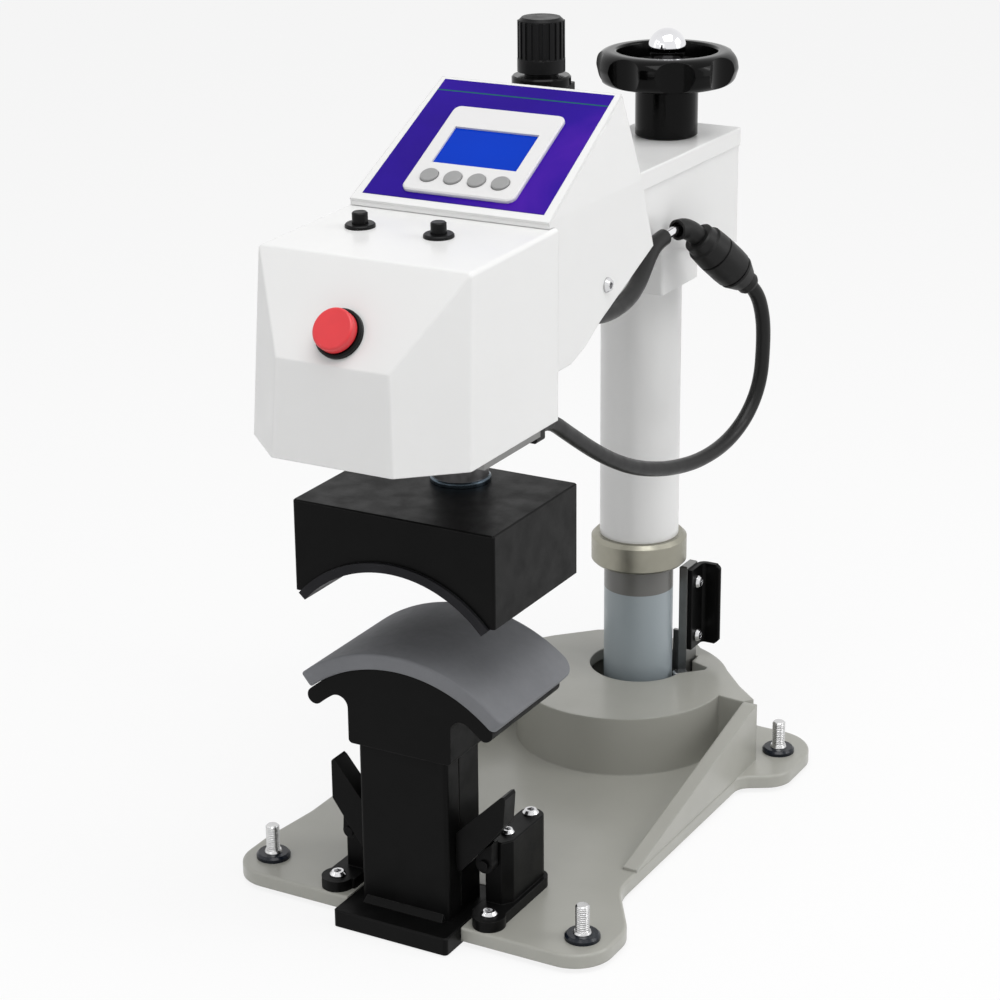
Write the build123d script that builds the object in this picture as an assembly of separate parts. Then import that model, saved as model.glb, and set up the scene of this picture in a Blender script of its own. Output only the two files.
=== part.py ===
from build123d import *
import math
import os

# Cap heat press on a swing-away column.
# Millimetres. X is to the operator's right, Y away from the operator, Z up, floor at Z = 0.
# Everything is laid out about the column's axis, then moved once by FRAME_Y so that the
# origin lies under the middle of the footprint.

# ---- clearances -------------------------------------------------------------------------
RUN_FIT = 0.05
AIR_GAP = 0.3
SLIP = 0.5
SEAM = 0.2

# ---- base casting ------------------------------------------------------------------------
FOOT_H = 4.0
FOOT_R = 13.0
PLATE_T = 10.0
PLATE_EDGE_R = 2.0
PLATE_FRONT_Y = -362.0
PLATE_HALF_W = 146.0
PLATE_WAIST_R = 116.0
PLATE_WAIST_L = 140.0
LOBE_REAR_Y = 29.0
CORNER_R = 28.0
DRUM_R = 83.0
DRUM_Y = -28.0
DRUM_H = 47.0
DRUM_WALL = 9.0
DRUM_TOP_T = 9.0
DRUM_REAR_Y = 57.0
DRUM_HOLE_R = 38.0
POCKET_X = 53.0
POCKET_Y0 = -8.0
POCKET_Y1 = 33.5
GUSSET_T = 11.0
GUSSET_REAR_Y = -30.0
GUSSET_TOE_Y = -236.0
GUSSET_TOE_H = 2.0

# ---- feet, studs -------------------------------------------------------------------------
STUD_X = 124.3
STUD_FRONT_Y = -335.0
STUD_REAR_Y = -6.0
STUD_R = 5.0
STUD_TOP_Z = 40.0
STUD_PITCH = 1.5
DISC_R = 12.25
DISC_T = 4.0
RING_R = 6.4
RING_T = 2.0

# ---- post --------------------------------------------------------------------------------
POST_R = 27.0
POST_WALL = 6.0
POST_TOP_Z = 440.0
POST_FLANGE_R = 36.0
POST_FLANGE_T = 10.0

# ---- swing stop --------------------------------------------------------------------------
STOP_BAR_X0 = 28.5
STOP_BAR_W = 7.0
STOP_BAR_Y0 = 14.0
STOP_BAR_D = 18.0
STOP_TAB_REAR_Y = 22.5
STOP_BAR_TOP = 143.0
STOP_TAB_T = 6.0
STOP_WING_TOP = 86.0
STOP_BRACKET_W = 18.5
STOP_BRACKET_Z0 = 74.0
STOP_BRACKET_H = 67.0
STOP_BRACKET_D = 24.0
STOP_BRACKET_T = 4.0
BOLT_R = 6.5
STOP_SCREW_R = 5.3

# ---- lower platen ------------------------------------------------------------------------
SLAB_HALF_W = 45.0
SLAB_FRONT_Y = -381.0
SLAB_REAR_Y = -302.0
SLAB_T = 12.7
PILLAR_HALF_W = 34.5
PILLAR_FRONT_Y = -359.0
PILLAR_REAR_Y = -314.0
PILLAR_TOP_Z = 132.0
PILLAR_WALL = 4.0
SADDLE_STEM_HALF_W = 40.0
SADDLE_STEM_R = 8.0
SADDLE_STEM_REAR_Y = -311.0
SADDLE_BOTTOM_Z = 133.5
SADDLE_REAR_Y = -268.0
SADDLE_PLATE_T = 12.0
SADDLE_HALF_W = 71.8
PAD_R = 118.0
PAD_PEAK_Z = 205.3
PAD_T = 11.5
PAD_TURN = 1.5
PAD_HALF_W = 78.7
PAD_FRONT_Y = -365.0
PAD_LENGTH = 97.0
PAD_SEAT_GAP = 0.4

# ---- platen guides and latches -----------------------------------------------------------
GUIDE_IN_X = 47.0
GUIDE_OUT_X = 70.0
GUIDE_BASE_T = 8.0
GUIDE_FRONT_Y = -361.0
GUIDE_REAR_Y = -276.0
GUIDE_BLOCK_X0 = 49.0
GUIDE_BLOCK_FRONT_Y = -334.0
GUIDE_BLOCK_OUT_X = 67.0
GUIDE_TOP_Z = 69.0
EAR_R = 11.5
GUIDE_SCREW_R = 5.75
LATCH_FRONT_Y = -350.0
LATCH_T = 15.0
LATCH_PIVOT_X = 53.5
LATCH_PIVOT_Z = 55.0
LATCH_PIN_R = 3.5
LATCH_IN_X = 35.8
LATCH_TIP_X = 73.5
LATCH_TIP_Z = 115.0
LATCH_HEEL_R = 8.5
LATCH_LEFT_TURN = 7.0

# ---- swing head: sleeve, collar, clamp block ---------------------------------------------
SLEEVE_R = 30.5
SLEEVE_WALL = 2.0
SLEEVE_TOP_Z = 462.0
COLLAR_R = 37.0
COLLAR_Z = 149.2
COLLAR_H = 23.3
BUSH_LENGTH = 36.0
BEARING_T = 8.0
BLOCK_HALF_W = 33.2
BLOCK_FRONT_Y = -33.0
BLOCK_REAR_Y = 29.0
BLOCK_Z = 373.6
BLOCK_H = 62.0
LUG_LENGTH = 28.0
LUG_HALF_W = 15.0
LUG_Z = 402.0
LUG_H = 24.0

# ---- arm ---------------------------------------------------------------------------------
ARM_HALF_W = 38.0
ARM_WALL = 4.0
ARM_REAR_Y = 88.0
ARM_CYLINDER_GAP = 2.0
ARM_TOP_Z = 474.0
ARM_BOTTOM_REAR_Z = 387.0
ARM_BOTTOM_FRONT_Z = 427.0
ARM_BEND_Y = -134.0
ARM_WEB_Z = 446.0
ARM_WEB_T = 8.0
LID_T = 2.5
LID_SKIRT = 11.0
LID_SHEET = 1.5

# ---- lift handwheel ----------------------------------------------------------------------
WHEEL_Y = 40.0
WHEEL_HUB_R = 23.5
WHEEL_HUB_H = 39.0
WHEEL_R = 53.7
WHEEL_RIM_H = 24.6
WHEEL_SCALLOPS = 8
WHEEL_SCALLOP_R = 30.0
WHEEL_SCALLOP_DEPTH = 6.2
WHEEL_RIDGE_R = 3.0
WHEEL_DISH_R = 37.7
WHEEL_DISH_DEPTH = 15.0
BALL_R = 14.0
BALL_Z = 542.6
SCREW_R = 8.0
SCREW_BOTTOM_Z = 394.0
WHEEL_SEAT_GAP = 0.4

# ---- air regulator -----------------------------------------------------------------------
REG_X = -19.5
REG_Y = -121.0
REG_BODY_W = 36.0
REG_BODY_H = 65.0
REG_FLANGE_R = 20.75
REG_FLANGE_T = 6.5
REG_NECK_R = 12.0
KNOB_LIFT = 9.2
KNOB_H = 37.4
KNOB_R = 16.7
KNOB_SKIRT_H = 9.0
KNOB_RIBS = 20

# ---- nose housing ------------------------------------------------------------------------
NOSE_TOP_HALF_W = 77.5
NOSE_BOTTOM_HALF_W = 80.5
NOSE_CHIN_HALF_W = 41.0
NOSE_FRONT_Y = -433.7
NOSE_CHIN_LEAN = 3.7
NOSE_BOTTOM_Z = 359.0
NOSE_CHIN_Z = 424.0
NOSE_BROW_Y = -390.0
NOSE_TOP_Z = 482.5
NOSE_TOP_RISE = 2.7
NOSE_REAR_TOP_Y = -279.0
NOSE_REAR_BOTTOM_Y = -286.0
NOSE_CHEEK_Y = -400.0
NOSE_WALL = 3.0
NOSE_EDGE_R = 3.0
UNDERPLATE_T = 3.0
UNDERPLATE_TONGUE_HALF_W = 37.0
STRIP_X0 = 67.0
STRIP_X1 = 75.0
STRIP_FRONT_Y = -374.0
STRIP_REAR_Y = -300.0
STRIP_DROP = 8.0

# ---- hood and control panel --------------------------------------------------------------
HOOD_HALF_W = 74.4
HOOD_TOP_HALF_W = 68.7
HOOD_WALL = 2.5
HOOD_EDGE_R = 2.0
PANEL_FOOT_Y = -286.5
PANEL_FOOT_Z = 490.0
PANEL_ANGLE = 28.5
PANEL_LENGTH = 129.0
PANEL_T = 2.0
HOOD_REAR_MID_Y = -150.0
HOOD_REAR_MID_Z = 483.0
HOOD_TAIL_Y = -134.0
HOOD_TAIL_Z = 440.0
HOOD_BELLY_Y = -213.0
HOOD_BELLY_Z = 407.0
HOOD_BOTTOM_Z = 388.0
HOOD_BOTTOM_Y = -256.0
SIDE_SCREW_Y = -204.4
SIDE_SCREW_Z = 429.3
SIDE_SCREW_R = 5.2
OVERLAY_MARGIN = 6.5
OVERLAY_T = 0.4
BEZEL_W = 84.5
BEZEL_H = 86.0
BEZEL_S = 55.2
BEZEL_X = 0.8
BEZEL_T = 3.0
BEZEL_CORNER_R = 6.0
BEZEL_LAND = 3.0
LCD_W = 63.5
LCD_H = 36.6
LCD_S = 58.2
LCD_DEPTH = 9.0
LCD_RECESS = 1.4
KEY_S = 26.6
KEY_R = 6.2
KEY_PITCH = 17.8
KEY_PROUD = 1.6
KEY_DEPTH = 5.0

# ---- buttons -----------------------------------------------------------------------------
START_X = 29.2
START_MID_X = -11.0
START_Y = -328.6
START_COLLAR_R = 10.0
START_COLLAR_T = 2.5
START_CAP_R = 5.2
START_PROUD = 10.0
START_TRAVEL = 3.0
STOP_CAP_R = 14.0
STOP_CAP_T = 7.0
STOP_COLLAR_R = 16.2
STOP_COLLAR_T = 4.0
STOP_SINK = 2.6
STOP_Z = 441.0
STOP_TRAVEL = 3.0

# ---- air cylinder, ram, heater -----------------------------------------------------------
RAM_X = 3.0
RAM_Y = -280.0
RAM_STROKE = 43.0
ROD_R = 19.2
CYL_R = 31.0
CYL_BORE_R = 27.0
CYL_TOP_Z = 468.0
CYL_CAP_T = 6.0
GLAND_T = 8.0
PISTON_T = 16.0
ROD_COLLAR_R = 20.8
ROD_COLLAR_T = 4.0
HEATER_HALF_W = 76.2
HEATER_FRONT_Y = -365.3
HEATER_LENGTH = 115.3
HEATER_Z = 239.5
HEATER_H = 64.3
SHOE_R = 90.0
SHOE_T = 6.35
SHOE_AXIS_Z = 174.9

# ---- rear panel --------------------------------------------------------------------------
INLET_W = 28.0
INLET_H = 20.0
INLET_Z = 452.0
SWITCH_W = 21.0
SWITCH_H = 14.0
SWITCH_Z = 424.0
AIR_Z = 401.0
AIR_HEX_R = 8.5
AIR_HEX_T = 7.0
AIR_SPIGOT_R = 4.0
AIR_SPIGOT_L = 13.0

# ---- cable -------------------------------------------------------------------------------
CABLE_R = 5.5
HOSE_R = 6.2
ELBOW_R = 7.6
STUB_TUBE_R = 3.6
PLUG_R = 15.2
PLUG_LENGTH = 62.5

# ---- derived heights and places ----------------------------------------------------------
PLATE_TOP = FOOT_H + PLATE_T
DRUM_TOP = PLATE_TOP + DRUM_H
REAR_REACH = ARM_REAR_Y + AIR_HEX_T + AIR_SPIGOT_L
FRAME_Y = -(NOSE_FRONT_Y + REAR_REACH) / 2
SLOPE = math.radians(PANEL_ANGLE)
HEATER_TOP = HEATER_Z + HEATER_H
BLOCK_TOP = BLOCK_Z + BLOCK_H
LID_TOP = ARM_TOP_Z + LID_T
ARM_FRONT_Y = RAM_Y + CYL_R + ARM_CYLINDER_GAP
REG_BODY_TOP = LID_TOP + REG_BODY_H
KNOB_Z = REG_BODY_TOP + KNOB_LIFT
KNOB_TOP_Z = KNOB_Z + KNOB_H

pieces = {}


def add(name, *solids):
    pieces[name] = Compound(label=name, children=[s for group in solids for s in group.solids()])


def block(x0, x1, y0, y1, z0, z1):
    return Pos((x0 + x1) / 2, (y0 + y1) / 2, (z0 + z1) / 2) * Box(x1 - x0, y1 - y0, z1 - z0)


def rod(x, y, z0, z1, r):
    return Pos(x, y, (z0 + z1) / 2) * Cylinder(r, z1 - z0)


def ring(x, y, z0, z1, r_out, r_in):
    return rod(x, y, z0, z1, r_out) - rod(x, y, z0 - 1, z1 + 1, r_in)


def rod_y(x, z, y0, y1, r):
    return Pos(x, (y0 + y1) / 2, z) * Rot(90, 0, 0) * Cylinder(r, y1 - y0)


def rod_x(y, z, x0, x1, r):
    return Pos((x0 + x1) / 2, y, z) * Rot(0, 90, 0) * Cylinder(r, x1 - x0)


def plan(points, radii, z0, z1):
    """A closed outline in plan with a radius at each corner, raised from z0 to z1."""
    outline = FilletPolyline(*points, radius=radii, close=True)
    return extrude(Pos(0, 0, z0) * make_face(outline), z1 - z0)


def side(points, x0, x1):
    """A closed outline in the YZ plane, drawn out from x0 to x1."""
    face = Plane.YZ.offset(x0) * make_face(Polyline(*points, close=True))
    return extrude(face, x1 - x0, dir=(1, 0, 0))


def front(points, y0, y1):
    """A closed outline in the XZ plane, drawn back from y0 to y1."""
    face = Plane((0, y0, 0), x_dir=(1, 0, 0), z_dir=(0, -1, 0)) * make_face(Polyline(*points, close=True))
    return extrude(face, y1 - y0, dir=(0, 1, 0))


def both_sides(solid):
    return solid + mirror(solid, Plane.YZ)


def socket_screw(r, head_h, socket_r):
    """A button head with a hexagon socket, seated at Z = 0, with no shank."""
    profile = make_face(Polyline((0, 0), (r, 0), (r, head_h * 0.35), (r * 0.72, head_h), (0, head_h), close=True))
    head = revolve(Plane.XZ * profile, Axis.Z)
    socket = Pos(0, 0, head_h * 0.4) * extrude(RegularPolygon(socket_r, 6), head_h)
    return head - socket


# ================================ base =====================================================
right_edge = [
    (PLATE_HALF_W, PLATE_FRONT_Y), (PLATE_HALF_W, -310.0), (PLATE_WAIST_R, -262.0),
    (PLATE_WAIST_R, -62.0), (PLATE_HALF_W, -44.0), (PLATE_HALF_W, LOBE_REAR_Y),
    (88.0, LOBE_REAR_Y + 1.0), (DRUM_HOLE_R + 8.0, DRUM_REAR_Y + 4.0),
]
left_edge = [
    (-DRUM_HOLE_R - 8.0, DRUM_REAR_Y + 4.0), (-88.0, LOBE_REAR_Y + 1.0), (-PLATE_HALF_W, LOBE_REAR_Y),
    (-PLATE_HALF_W, -48.0), (-PLATE_WAIST_L, -100.0), (-PLATE_WAIST_L, -262.0),
    (-PLATE_HALF_W, -312.0), (-PLATE_HALF_W, PLATE_FRONT_Y),
]
edge_radii = [CORNER_R, 32, 40, 14, 22, 33, 22, 10, 10, 22, 33, 60, 60, 60, 60, CORNER_R]
plate = plan(right_edge + left_edge, edge_radii, FOOT_H, PLATE_TOP)
plate = fillet(plate.faces().sort_by(Axis.Z)[-1].outer_wire().edges(), PLATE_EDGE_R)

drum_plan = [
    (DRUM_R, DRUM_Y), (104.0, GUSSET_REAR_Y), (110.0, GUSSET_REAR_Y + 7), (90.0, -5.0),
    (62.0, 26.0), (38.0, 42.0), (24.0, DRUM_REAR_Y),
]
drum_plan_left = [(-24.0, DRUM_REAR_Y), (-38.0, 56.0), (-58.0, 44.0), (-84.0, 17.0), (-96.0, 1.0),
                  (-110.0, GUSSET_REAR_Y + 7), (-104.0, GUSSET_REAR_Y), (-DRUM_R, DRUM_Y)]
drum_back = drum_plan + drum_plan_left
drum = rod(0, DRUM_Y, PLATE_TOP, DRUM_TOP, DRUM_R)
drum += extrude(Pos(0, 0, PLATE_TOP) * make_face(Polyline(*drum_back, close=True)), DRUM_H)
gusset = side([(GUSSET_TOE_Y, PLATE_TOP), (GUSSET_TOE_Y, PLATE_TOP + GUSSET_TOE_H),
               (GUSSET_REAR_Y - 4, DRUM_TOP), (GUSSET_REAR_Y, DRUM_TOP), (GUSSET_REAR_Y, PLATE_TOP)],
              PLATE_WAIST_R - GUSSET_T, PLATE_WAIST_R)
gussets = both_sides(gusset)
hollow = rod(0, DRUM_Y, PLATE_TOP, DRUM_TOP - DRUM_TOP_T, DRUM_R - DRUM_WALL)
mouth = rod(0, 0, PLATE_TOP, DRUM_TOP + 1, DRUM_HOLE_R)
pocket_plan = [(20.0, POCKET_Y0), (34.0, POCKET_Y0), (POCKET_X, 11.0), (POCKET_X, 16.0),
               (STOP_BAR_X0 + STOP_BAR_W + 1.5, 22.0), (STOP_BAR_X0 + STOP_BAR_W + 1.5, POCKET_Y1), (20.0, POCKET_Y1)]
pocket = extrude(Pos(0, 0, DRUM_TOP - DRUM_TOP_T - 1) * make_face(Polyline(*pocket_plan, close=True)), DRUM_TOP_T + 2)
pocket_lug = block(DRUM_HOLE_R - 8, POCKET_X + 3, POCKET_Y0, POCKET_Y1, PLATE_TOP, DRUM_TOP - DRUM_TOP_T - STOP_TAB_T)
casting = plate + drum + gussets - hollow - mouth - pocket
pocket_lug -= rod(0, 0, PLATE_TOP - 1, DRUM_TOP, POST_FLANGE_R + 1)
casting += pocket_lug
slot = block(-SLAB_HALF_W - SLIP, SLAB_HALF_W + SLIP, PLATE_FRONT_Y - 5, SLAB_REAR_Y + SLIP, 0, PLATE_TOP + 1)
casting -= slot
stud_places = [(x, y) for y in (STUD_FRONT_Y, STUD_REAR_Y) for x in (-STUD_X, STUD_X)]
for x, y in stud_places:
    casting -= rod(x, y, FOOT_H - 1, PLATE_TOP + 1, STUD_R)
add("base_casting", casting)
add("rubber_feet", *[rod(x, y, 0, FOOT_H, FOOT_R) for x, y in stud_places])

disc_shape = make_face(Polyline((STUD_R, 0), (DISC_R, 0), (DISC_R, DISC_T * 0.6), (DISC_R - 1.5, DISC_T),
                                (STUD_R, DISC_T), close=True))
disc = revolve(Plane.XZ * disc_shape, Axis.Z)
add("foot_discs", *[Pos(x, y, PLATE_TOP) * disc for x, y in stud_places])
washer = ring(0, 0, PLATE_TOP + DISC_T, PLATE_TOP + DISC_T + RING_T, RING_R, STUD_R)

thread_z0 = PLATE_TOP + DISC_T + RING_T
thread = [(0, FOOT_H), (STUD_R, FOOT_H), (STUD_R, thread_z0)]
turns = int((STUD_TOP_Z - 1.5 - thread_z0) / (2 * STUD_PITCH))
for i in range(turns):
    z = thread_z0 + 2 * STUD_PITCH * i
    thread += [(STUD_R - 0.7, z + STUD_PITCH), (STUD_R, z + 2 * STUD_PITCH)]
thread += [(STUD_R - 1.0, STUD_TOP_Z), (0, STUD_TOP_Z)]
stud = revolve(Plane.XZ * make_face(Polyline(*thread, close=True)), Axis.Z)
stud -= block(-STUD_R, STUD_R, -0.8, 0.8, STUD_TOP_Z - 2.5, STUD_TOP_Z + 1)
add("levelling_studs", *[Pos(x, y, 0) * s for x, y in stud_places for s in (stud, washer)])

add("post", ring(0, 0, PLATE_TOP, POST_TOP_Z, POST_R, POST_R - POST_WALL))
flange = ring(0, 0, PLATE_TOP, PLATE_TOP + POST_FLANGE_T, POST_FLANGE_R, POST_R)
add("post_flange", chamfer(flange.faces().sort_by(Axis.Z)[-1].outer_wire().edges(), 2.0))

# ---- swing stop beside the post
tab_z = DRUM_TOP - DRUM_TOP_T - STOP_TAB_T
tab_top = tab_z + STOP_TAB_T
bar = block(STOP_BAR_X0, STOP_BAR_X0 + STOP_BAR_W, STOP_BAR_Y0, STOP_BAR_Y0 + STOP_BAR_D, tab_z, STOP_BAR_TOP)
bar = chamfer(bar.faces().sort_by(Axis.Z)[-1].edges(), 1.0)
tab = block(STOP_BAR_X0 + 1, POCKET_X - 2, POCKET_Y0 + 1, STOP_TAB_REAR_Y, tab_z, tab_top)
tab -= rod(0, 0, tab_z - 1, tab_top + 1, POST_R + 2)
wing = block(STOP_BAR_X0 - 7.5, STOP_BAR_X0, STOP_BAR_Y0 + 6, STOP_BAR_Y0 + 9, tab_top, STOP_WING_TOP)
add("stop_bar", bar + tab + wing)
bolt = extrude(Pos(STOP_BAR_X0 + 7.5, 3.0, tab_top) * Rot(0, 0, 12) * RegularPolygon(BOLT_R, 6), 7.5)
bolt = chamfer(bolt.faces().sort_by(Axis.Z)[-1].edges(), 1.0)
bx = STOP_BAR_X0 + STOP_BAR_W
by = STOP_BAR_Y0
bt = STOP_BRACKET_T
bend_y = by + STOP_BRACKET_D
bracket = plan([(bx, by), (bx + bt, by), (bx + bt, bend_y - bt), (bx + STOP_BRACKET_W, bend_y - bt),
                (bx + STOP_BRACKET_W, bend_y), (bx, bend_y)], [0.8, 0.8, 3.0, 1.6, 1.6, 6.5], STOP_BRACKET_Z0,
               STOP_BRACKET_Z0 + STOP_BRACKET_H)
corner_x = bx + STOP_BRACKET_W
for z, dz in ((STOP_BRACKET_Z0, 1), (STOP_BRACKET_Z0 + STOP_BRACKET_H, -1)):
    bracket -= front([(corner_x - 5, z - dz), (corner_x + 1, z - dz), (corner_x + 1, z + 5 * dz), (corner_x - 1.5, z + 2 * dz)],
                     by, bend_y + 1)
add("stop_bracket", bracket)
stop_screws = []
for z in (STOP_BRACKET_Z0 + 9.6, STOP_BRACKET_Z0 + STOP_BRACKET_H - 12.4):
    head = Rot(0, 90, 0) * socket_screw(STOP_SCREW_R, 3.5, 2.6)
    stop_screws.append(Pos(bx + bt, by + 10.0, z) * head)
add("stop_fasteners", bolt, *stop_screws)

# ---- platen guides: a ramp plate, an upright block and a front ear, one each side
def guide(sign):
    ear = rod(60.5, GUIDE_FRONT_Y + EAR_R, PLATE_TOP, PLATE_TOP + GUIDE_BASE_T, EAR_R)
    strip = plan([(GUIDE_IN_X, GUIDE_FRONT_Y + EAR_R), (GUIDE_OUT_X, GUIDE_FRONT_Y + EAR_R),
                  (GUIDE_OUT_X, GUIDE_REAR_Y), (GUIDE_IN_X, GUIDE_REAR_Y)],
                 [1, 1, 9, 3], PLATE_TOP, PLATE_TOP + GUIDE_BASE_T)
    upright = plan([(GUIDE_BLOCK_X0, GUIDE_BLOCK_FRONT_Y), (GUIDE_BLOCK_OUT_X - 5, GUIDE_BLOCK_FRONT_Y),
                    (GUIDE_BLOCK_OUT_X, GUIDE_BLOCK_FRONT_Y + 8), (GUIDE_BLOCK_OUT_X, GUIDE_REAR_Y),
                    (GUIDE_BLOCK_X0, GUIDE_REAR_Y)],
                   [0.8, 1.5, 2.0, 8.9, 8.9], PLATE_TOP + GUIDE_BASE_T, GUIDE_TOP_Z)
    upright = chamfer(upright.faces().sort_by(Axis.Z)[-1].edges(), 0.8)
    body = ear + strip + upright
    return body if sign > 0 else mirror(body, Plane.YZ)


def guide_screws(sign):
    front_screw = Pos(60.5, GUIDE_FRONT_Y + EAR_R, PLATE_TOP + GUIDE_BASE_T) * socket_screw(GUIDE_SCREW_R, 3.2, 2.8)
    rear_screw = Pos(GUIDE_BLOCK_X0 + 9, GUIDE_REAR_Y - 9, GUIDE_TOP_Z) * socket_screw(GUIDE_SCREW_R, 3.2, 2.8)
    mid_screw = Pos(GUIDE_BLOCK_X0 + 9, GUIDE_REAR_Y - 42, GUIDE_TOP_Z) * socket_screw(GUIDE_SCREW_R - 1, 3.0, 2.4)
    both = [front_screw, rear_screw, mid_screw]
    return both if sign > 0 else [mirror(s, Plane.YZ) for s in both]


add("platen_guides", guide(1), guide(-1))
add("platen_guide_screws", *guide_screws(1), *guide_screws(-1))


# ---- latch levers: a thick leaning clamp bar, its heel on a pin that stands out of each guide
def latch(sign):
    back = LATCH_FRONT_Y + LATCH_T
    px, pz, r = LATCH_PIVOT_X, LATCH_PIVOT_Z, LATCH_HEEL_R
    bar_points = [(LATCH_IN_X, pz - 4.5), (LATCH_IN_X, 78.0), (LATCH_TIP_X, LATCH_TIP_Z), (LATCH_TIP_X - 2.5, 90.5),
                  (px + r + 1.5, pz + 12.0), (px + r, pz - 2.0), (px + 3.0, pz - r), (px - 3.0, pz - r)]
    outline = FilletPolyline(*bar_points, radius=[1, 1.5, 3.5, 2.5, 3, 4, 3, 3], close=True)
    face = Plane((0, LATCH_FRONT_Y, 0), x_dir=(1, 0, 0), z_dir=(0, -1, 0)) * make_face(outline)
    bar = extrude(face, LATCH_T, dir=(0, 1, 0))
    bar = chamfer(bar.faces().sort_by(Axis.Y)[0].edges(), 0.6)
    bar -= rod_y(px, pz, LATCH_FRONT_Y + 4.0, back + 1, LATCH_PIN_R + RUN_FIT)
    if sign < 0:
        bar = Pos(px, 0, pz) * Rot(0, -LATCH_LEFT_TURN, 0) * Pos(-px, 0, -pz) * bar
        bar -= block(0, LATCH_IN_X, LATCH_FRONT_Y - 1, back + 1, 0, 150)
    return bar if sign > 0 else mirror(bar, Plane.YZ)


def latch_pin(sign):
    pin = rod_y(LATCH_PIVOT_X, LATCH_PIVOT_Z, LATCH_FRONT_Y + 4.5, GUIDE_BLOCK_FRONT_Y, LATCH_PIN_R)
    return pin if sign > 0 else mirror(pin, Plane.YZ)


add("latch_lever_right", latch(1))
add("latch_lever_left", latch(-1))
add("latch_pins", latch_pin(1), latch_pin(-1))

# ================================ lower platen =============================================
slab_top = PLATE_TOP
slab = block(-SLAB_HALF_W, SLAB_HALF_W, SLAB_FRONT_Y, SLAB_REAR_Y, slab_top - SLAB_T, slab_top)
slab = fillet(slab.edges().filter_by(Axis.Z), 3.0)
slab = chamfer(slab.faces().sort_by(Axis.Z)[-1].edges(), 0.8)
add("platen_foot", slab)
pillar = block(-PILLAR_HALF_W, PILLAR_HALF_W, PILLAR_FRONT_Y, PILLAR_REAR_Y, slab_top, PILLAR_TOP_Z)
pillar = fillet(pillar.edges().filter_by(Axis.Z), 3.0)
pillar -= block(-PILLAR_HALF_W + PILLAR_WALL, PILLAR_HALF_W - PILLAR_WALL, PILLAR_FRONT_Y + PILLAR_WALL,
                PILLAR_REAR_Y - PILLAR_WALL, slab_top - 1, PILLAR_TOP_Z + 1)
for x in (-PILLAR_HALF_W, PILLAR_HALF_W):
    pillar -= block(x - 0.9, x + 0.9, PILLAR_FRONT_Y + 16.0, PILLAR_FRONT_Y + 17.2, slab_top + 5, PILLAR_TOP_Z - 1)
bead = front([(-PILLAR_HALF_W + 3, slab_top), (PILLAR_HALF_W - 3, slab_top), (PILLAR_HALF_W - 4, slab_top + 4.5),
              (-PILLAR_HALF_W + 4, slab_top + 4.5)], PILLAR_FRONT_Y - 4.5, PILLAR_FRONT_Y + 0.5)
bead_cut = side([(PILLAR_FRONT_Y - 4.6, slab_top + 0.6), (PILLAR_FRONT_Y - 0.6, slab_top + 4.6),
                 (PILLAR_FRONT_Y - 4.6, slab_top + 4.6)], -PILLAR_HALF_W, PILLAR_HALF_W)
add("platen_pillar", pillar + (bead - bead_cut))

pad_axis_z = PAD_PEAK_Z - PAD_R
pad_back_y = PAD_FRONT_Y + PAD_LENGTH


def arc_band(axis_z, r_out, r_in, half_w, y0, y1):
    """A band bent about a line along Y, with ends square to its arc."""
    angle = math.degrees(math.asin(half_w / r_out))
    steps = [90 - angle, 90, 90 + angle]
    outer = [(r_out * math.cos(math.radians(a)), axis_z + r_out * math.sin(math.radians(a))) for a in steps]
    inner = [(r_in * math.cos(math.radians(a)), axis_z + r_in * math.sin(math.radians(a))) for a in steps]
    wire = [ThreePointArc(*outer), Line(outer[2], inner[2]), ThreePointArc(*reversed(inner)), Line(inner[0], outer[0])]
    face = Plane((0, y0, 0), x_dir=(1, 0, 0), z_dir=(0, -1, 0)) * make_face(wire)
    return extrude(face, y1 - y0, dir=(0, 1, 0))


pad = arc_band(pad_axis_z, PAD_R, PAD_R - PAD_T, PAD_HALF_W, PAD_FRONT_Y, pad_back_y)
add("silicone_pad", Pos(0, 0, pad_axis_z) * Rot(0, PAD_TURN, 0) * Pos(0, 0, -pad_axis_z) * pad)
saddle_r = PAD_R - PAD_T - PAD_SEAT_GAP
tip_r = SADDLE_PLATE_T / 2
tip_mid_r = saddle_r - tip_r
tip_x = SADDLE_HALF_W - tip_r
tip_z = pad_axis_z + math.sqrt(tip_mid_r ** 2 - tip_x ** 2)
band_half = tip_x * saddle_r / tip_mid_r
saddle_front = PAD_FRONT_Y + 3
saddle = arc_band(pad_axis_z, saddle_r, saddle_r - SADDLE_PLATE_T, band_half, saddle_front, SADDLE_REAR_Y)
for s in (-1, 1):
    saddle += rod_y(s * tip_x, tip_z, saddle_front, SADDLE_REAR_Y, tip_r)
stem = block(-SADDLE_STEM_HALF_W, SADDLE_STEM_HALF_W, saddle_front, SADDLE_STEM_REAR_Y, SADDLE_BOTTOM_Z, PAD_PEAK_Z)
stem = fillet(stem.edges().filter_by(Axis.Y).sort_by(Axis.Z)[:2], 3.0)
stem &= rod_y(0, pad_axis_z, PAD_FRONT_Y, SADDLE_REAR_Y + 5, saddle_r - 1)
saddle += stem
inner_corners = [e for e in saddle.edges().filter_by(Axis.Y)
                 if abs(abs(e.center().X) - SADDLE_STEM_HALF_W) < 0.1 and e.center().Z > SADDLE_BOTTOM_Z + 20]
saddle = fillet(inner_corners, SADDLE_STEM_R)
seat = block(-PILLAR_HALF_W, PILLAR_HALF_W, PILLAR_FRONT_Y, PILLAR_REAR_Y, PILLAR_TOP_Z, SADDLE_BOTTOM_Z)
add("platen_saddle", saddle + seat)

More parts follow.
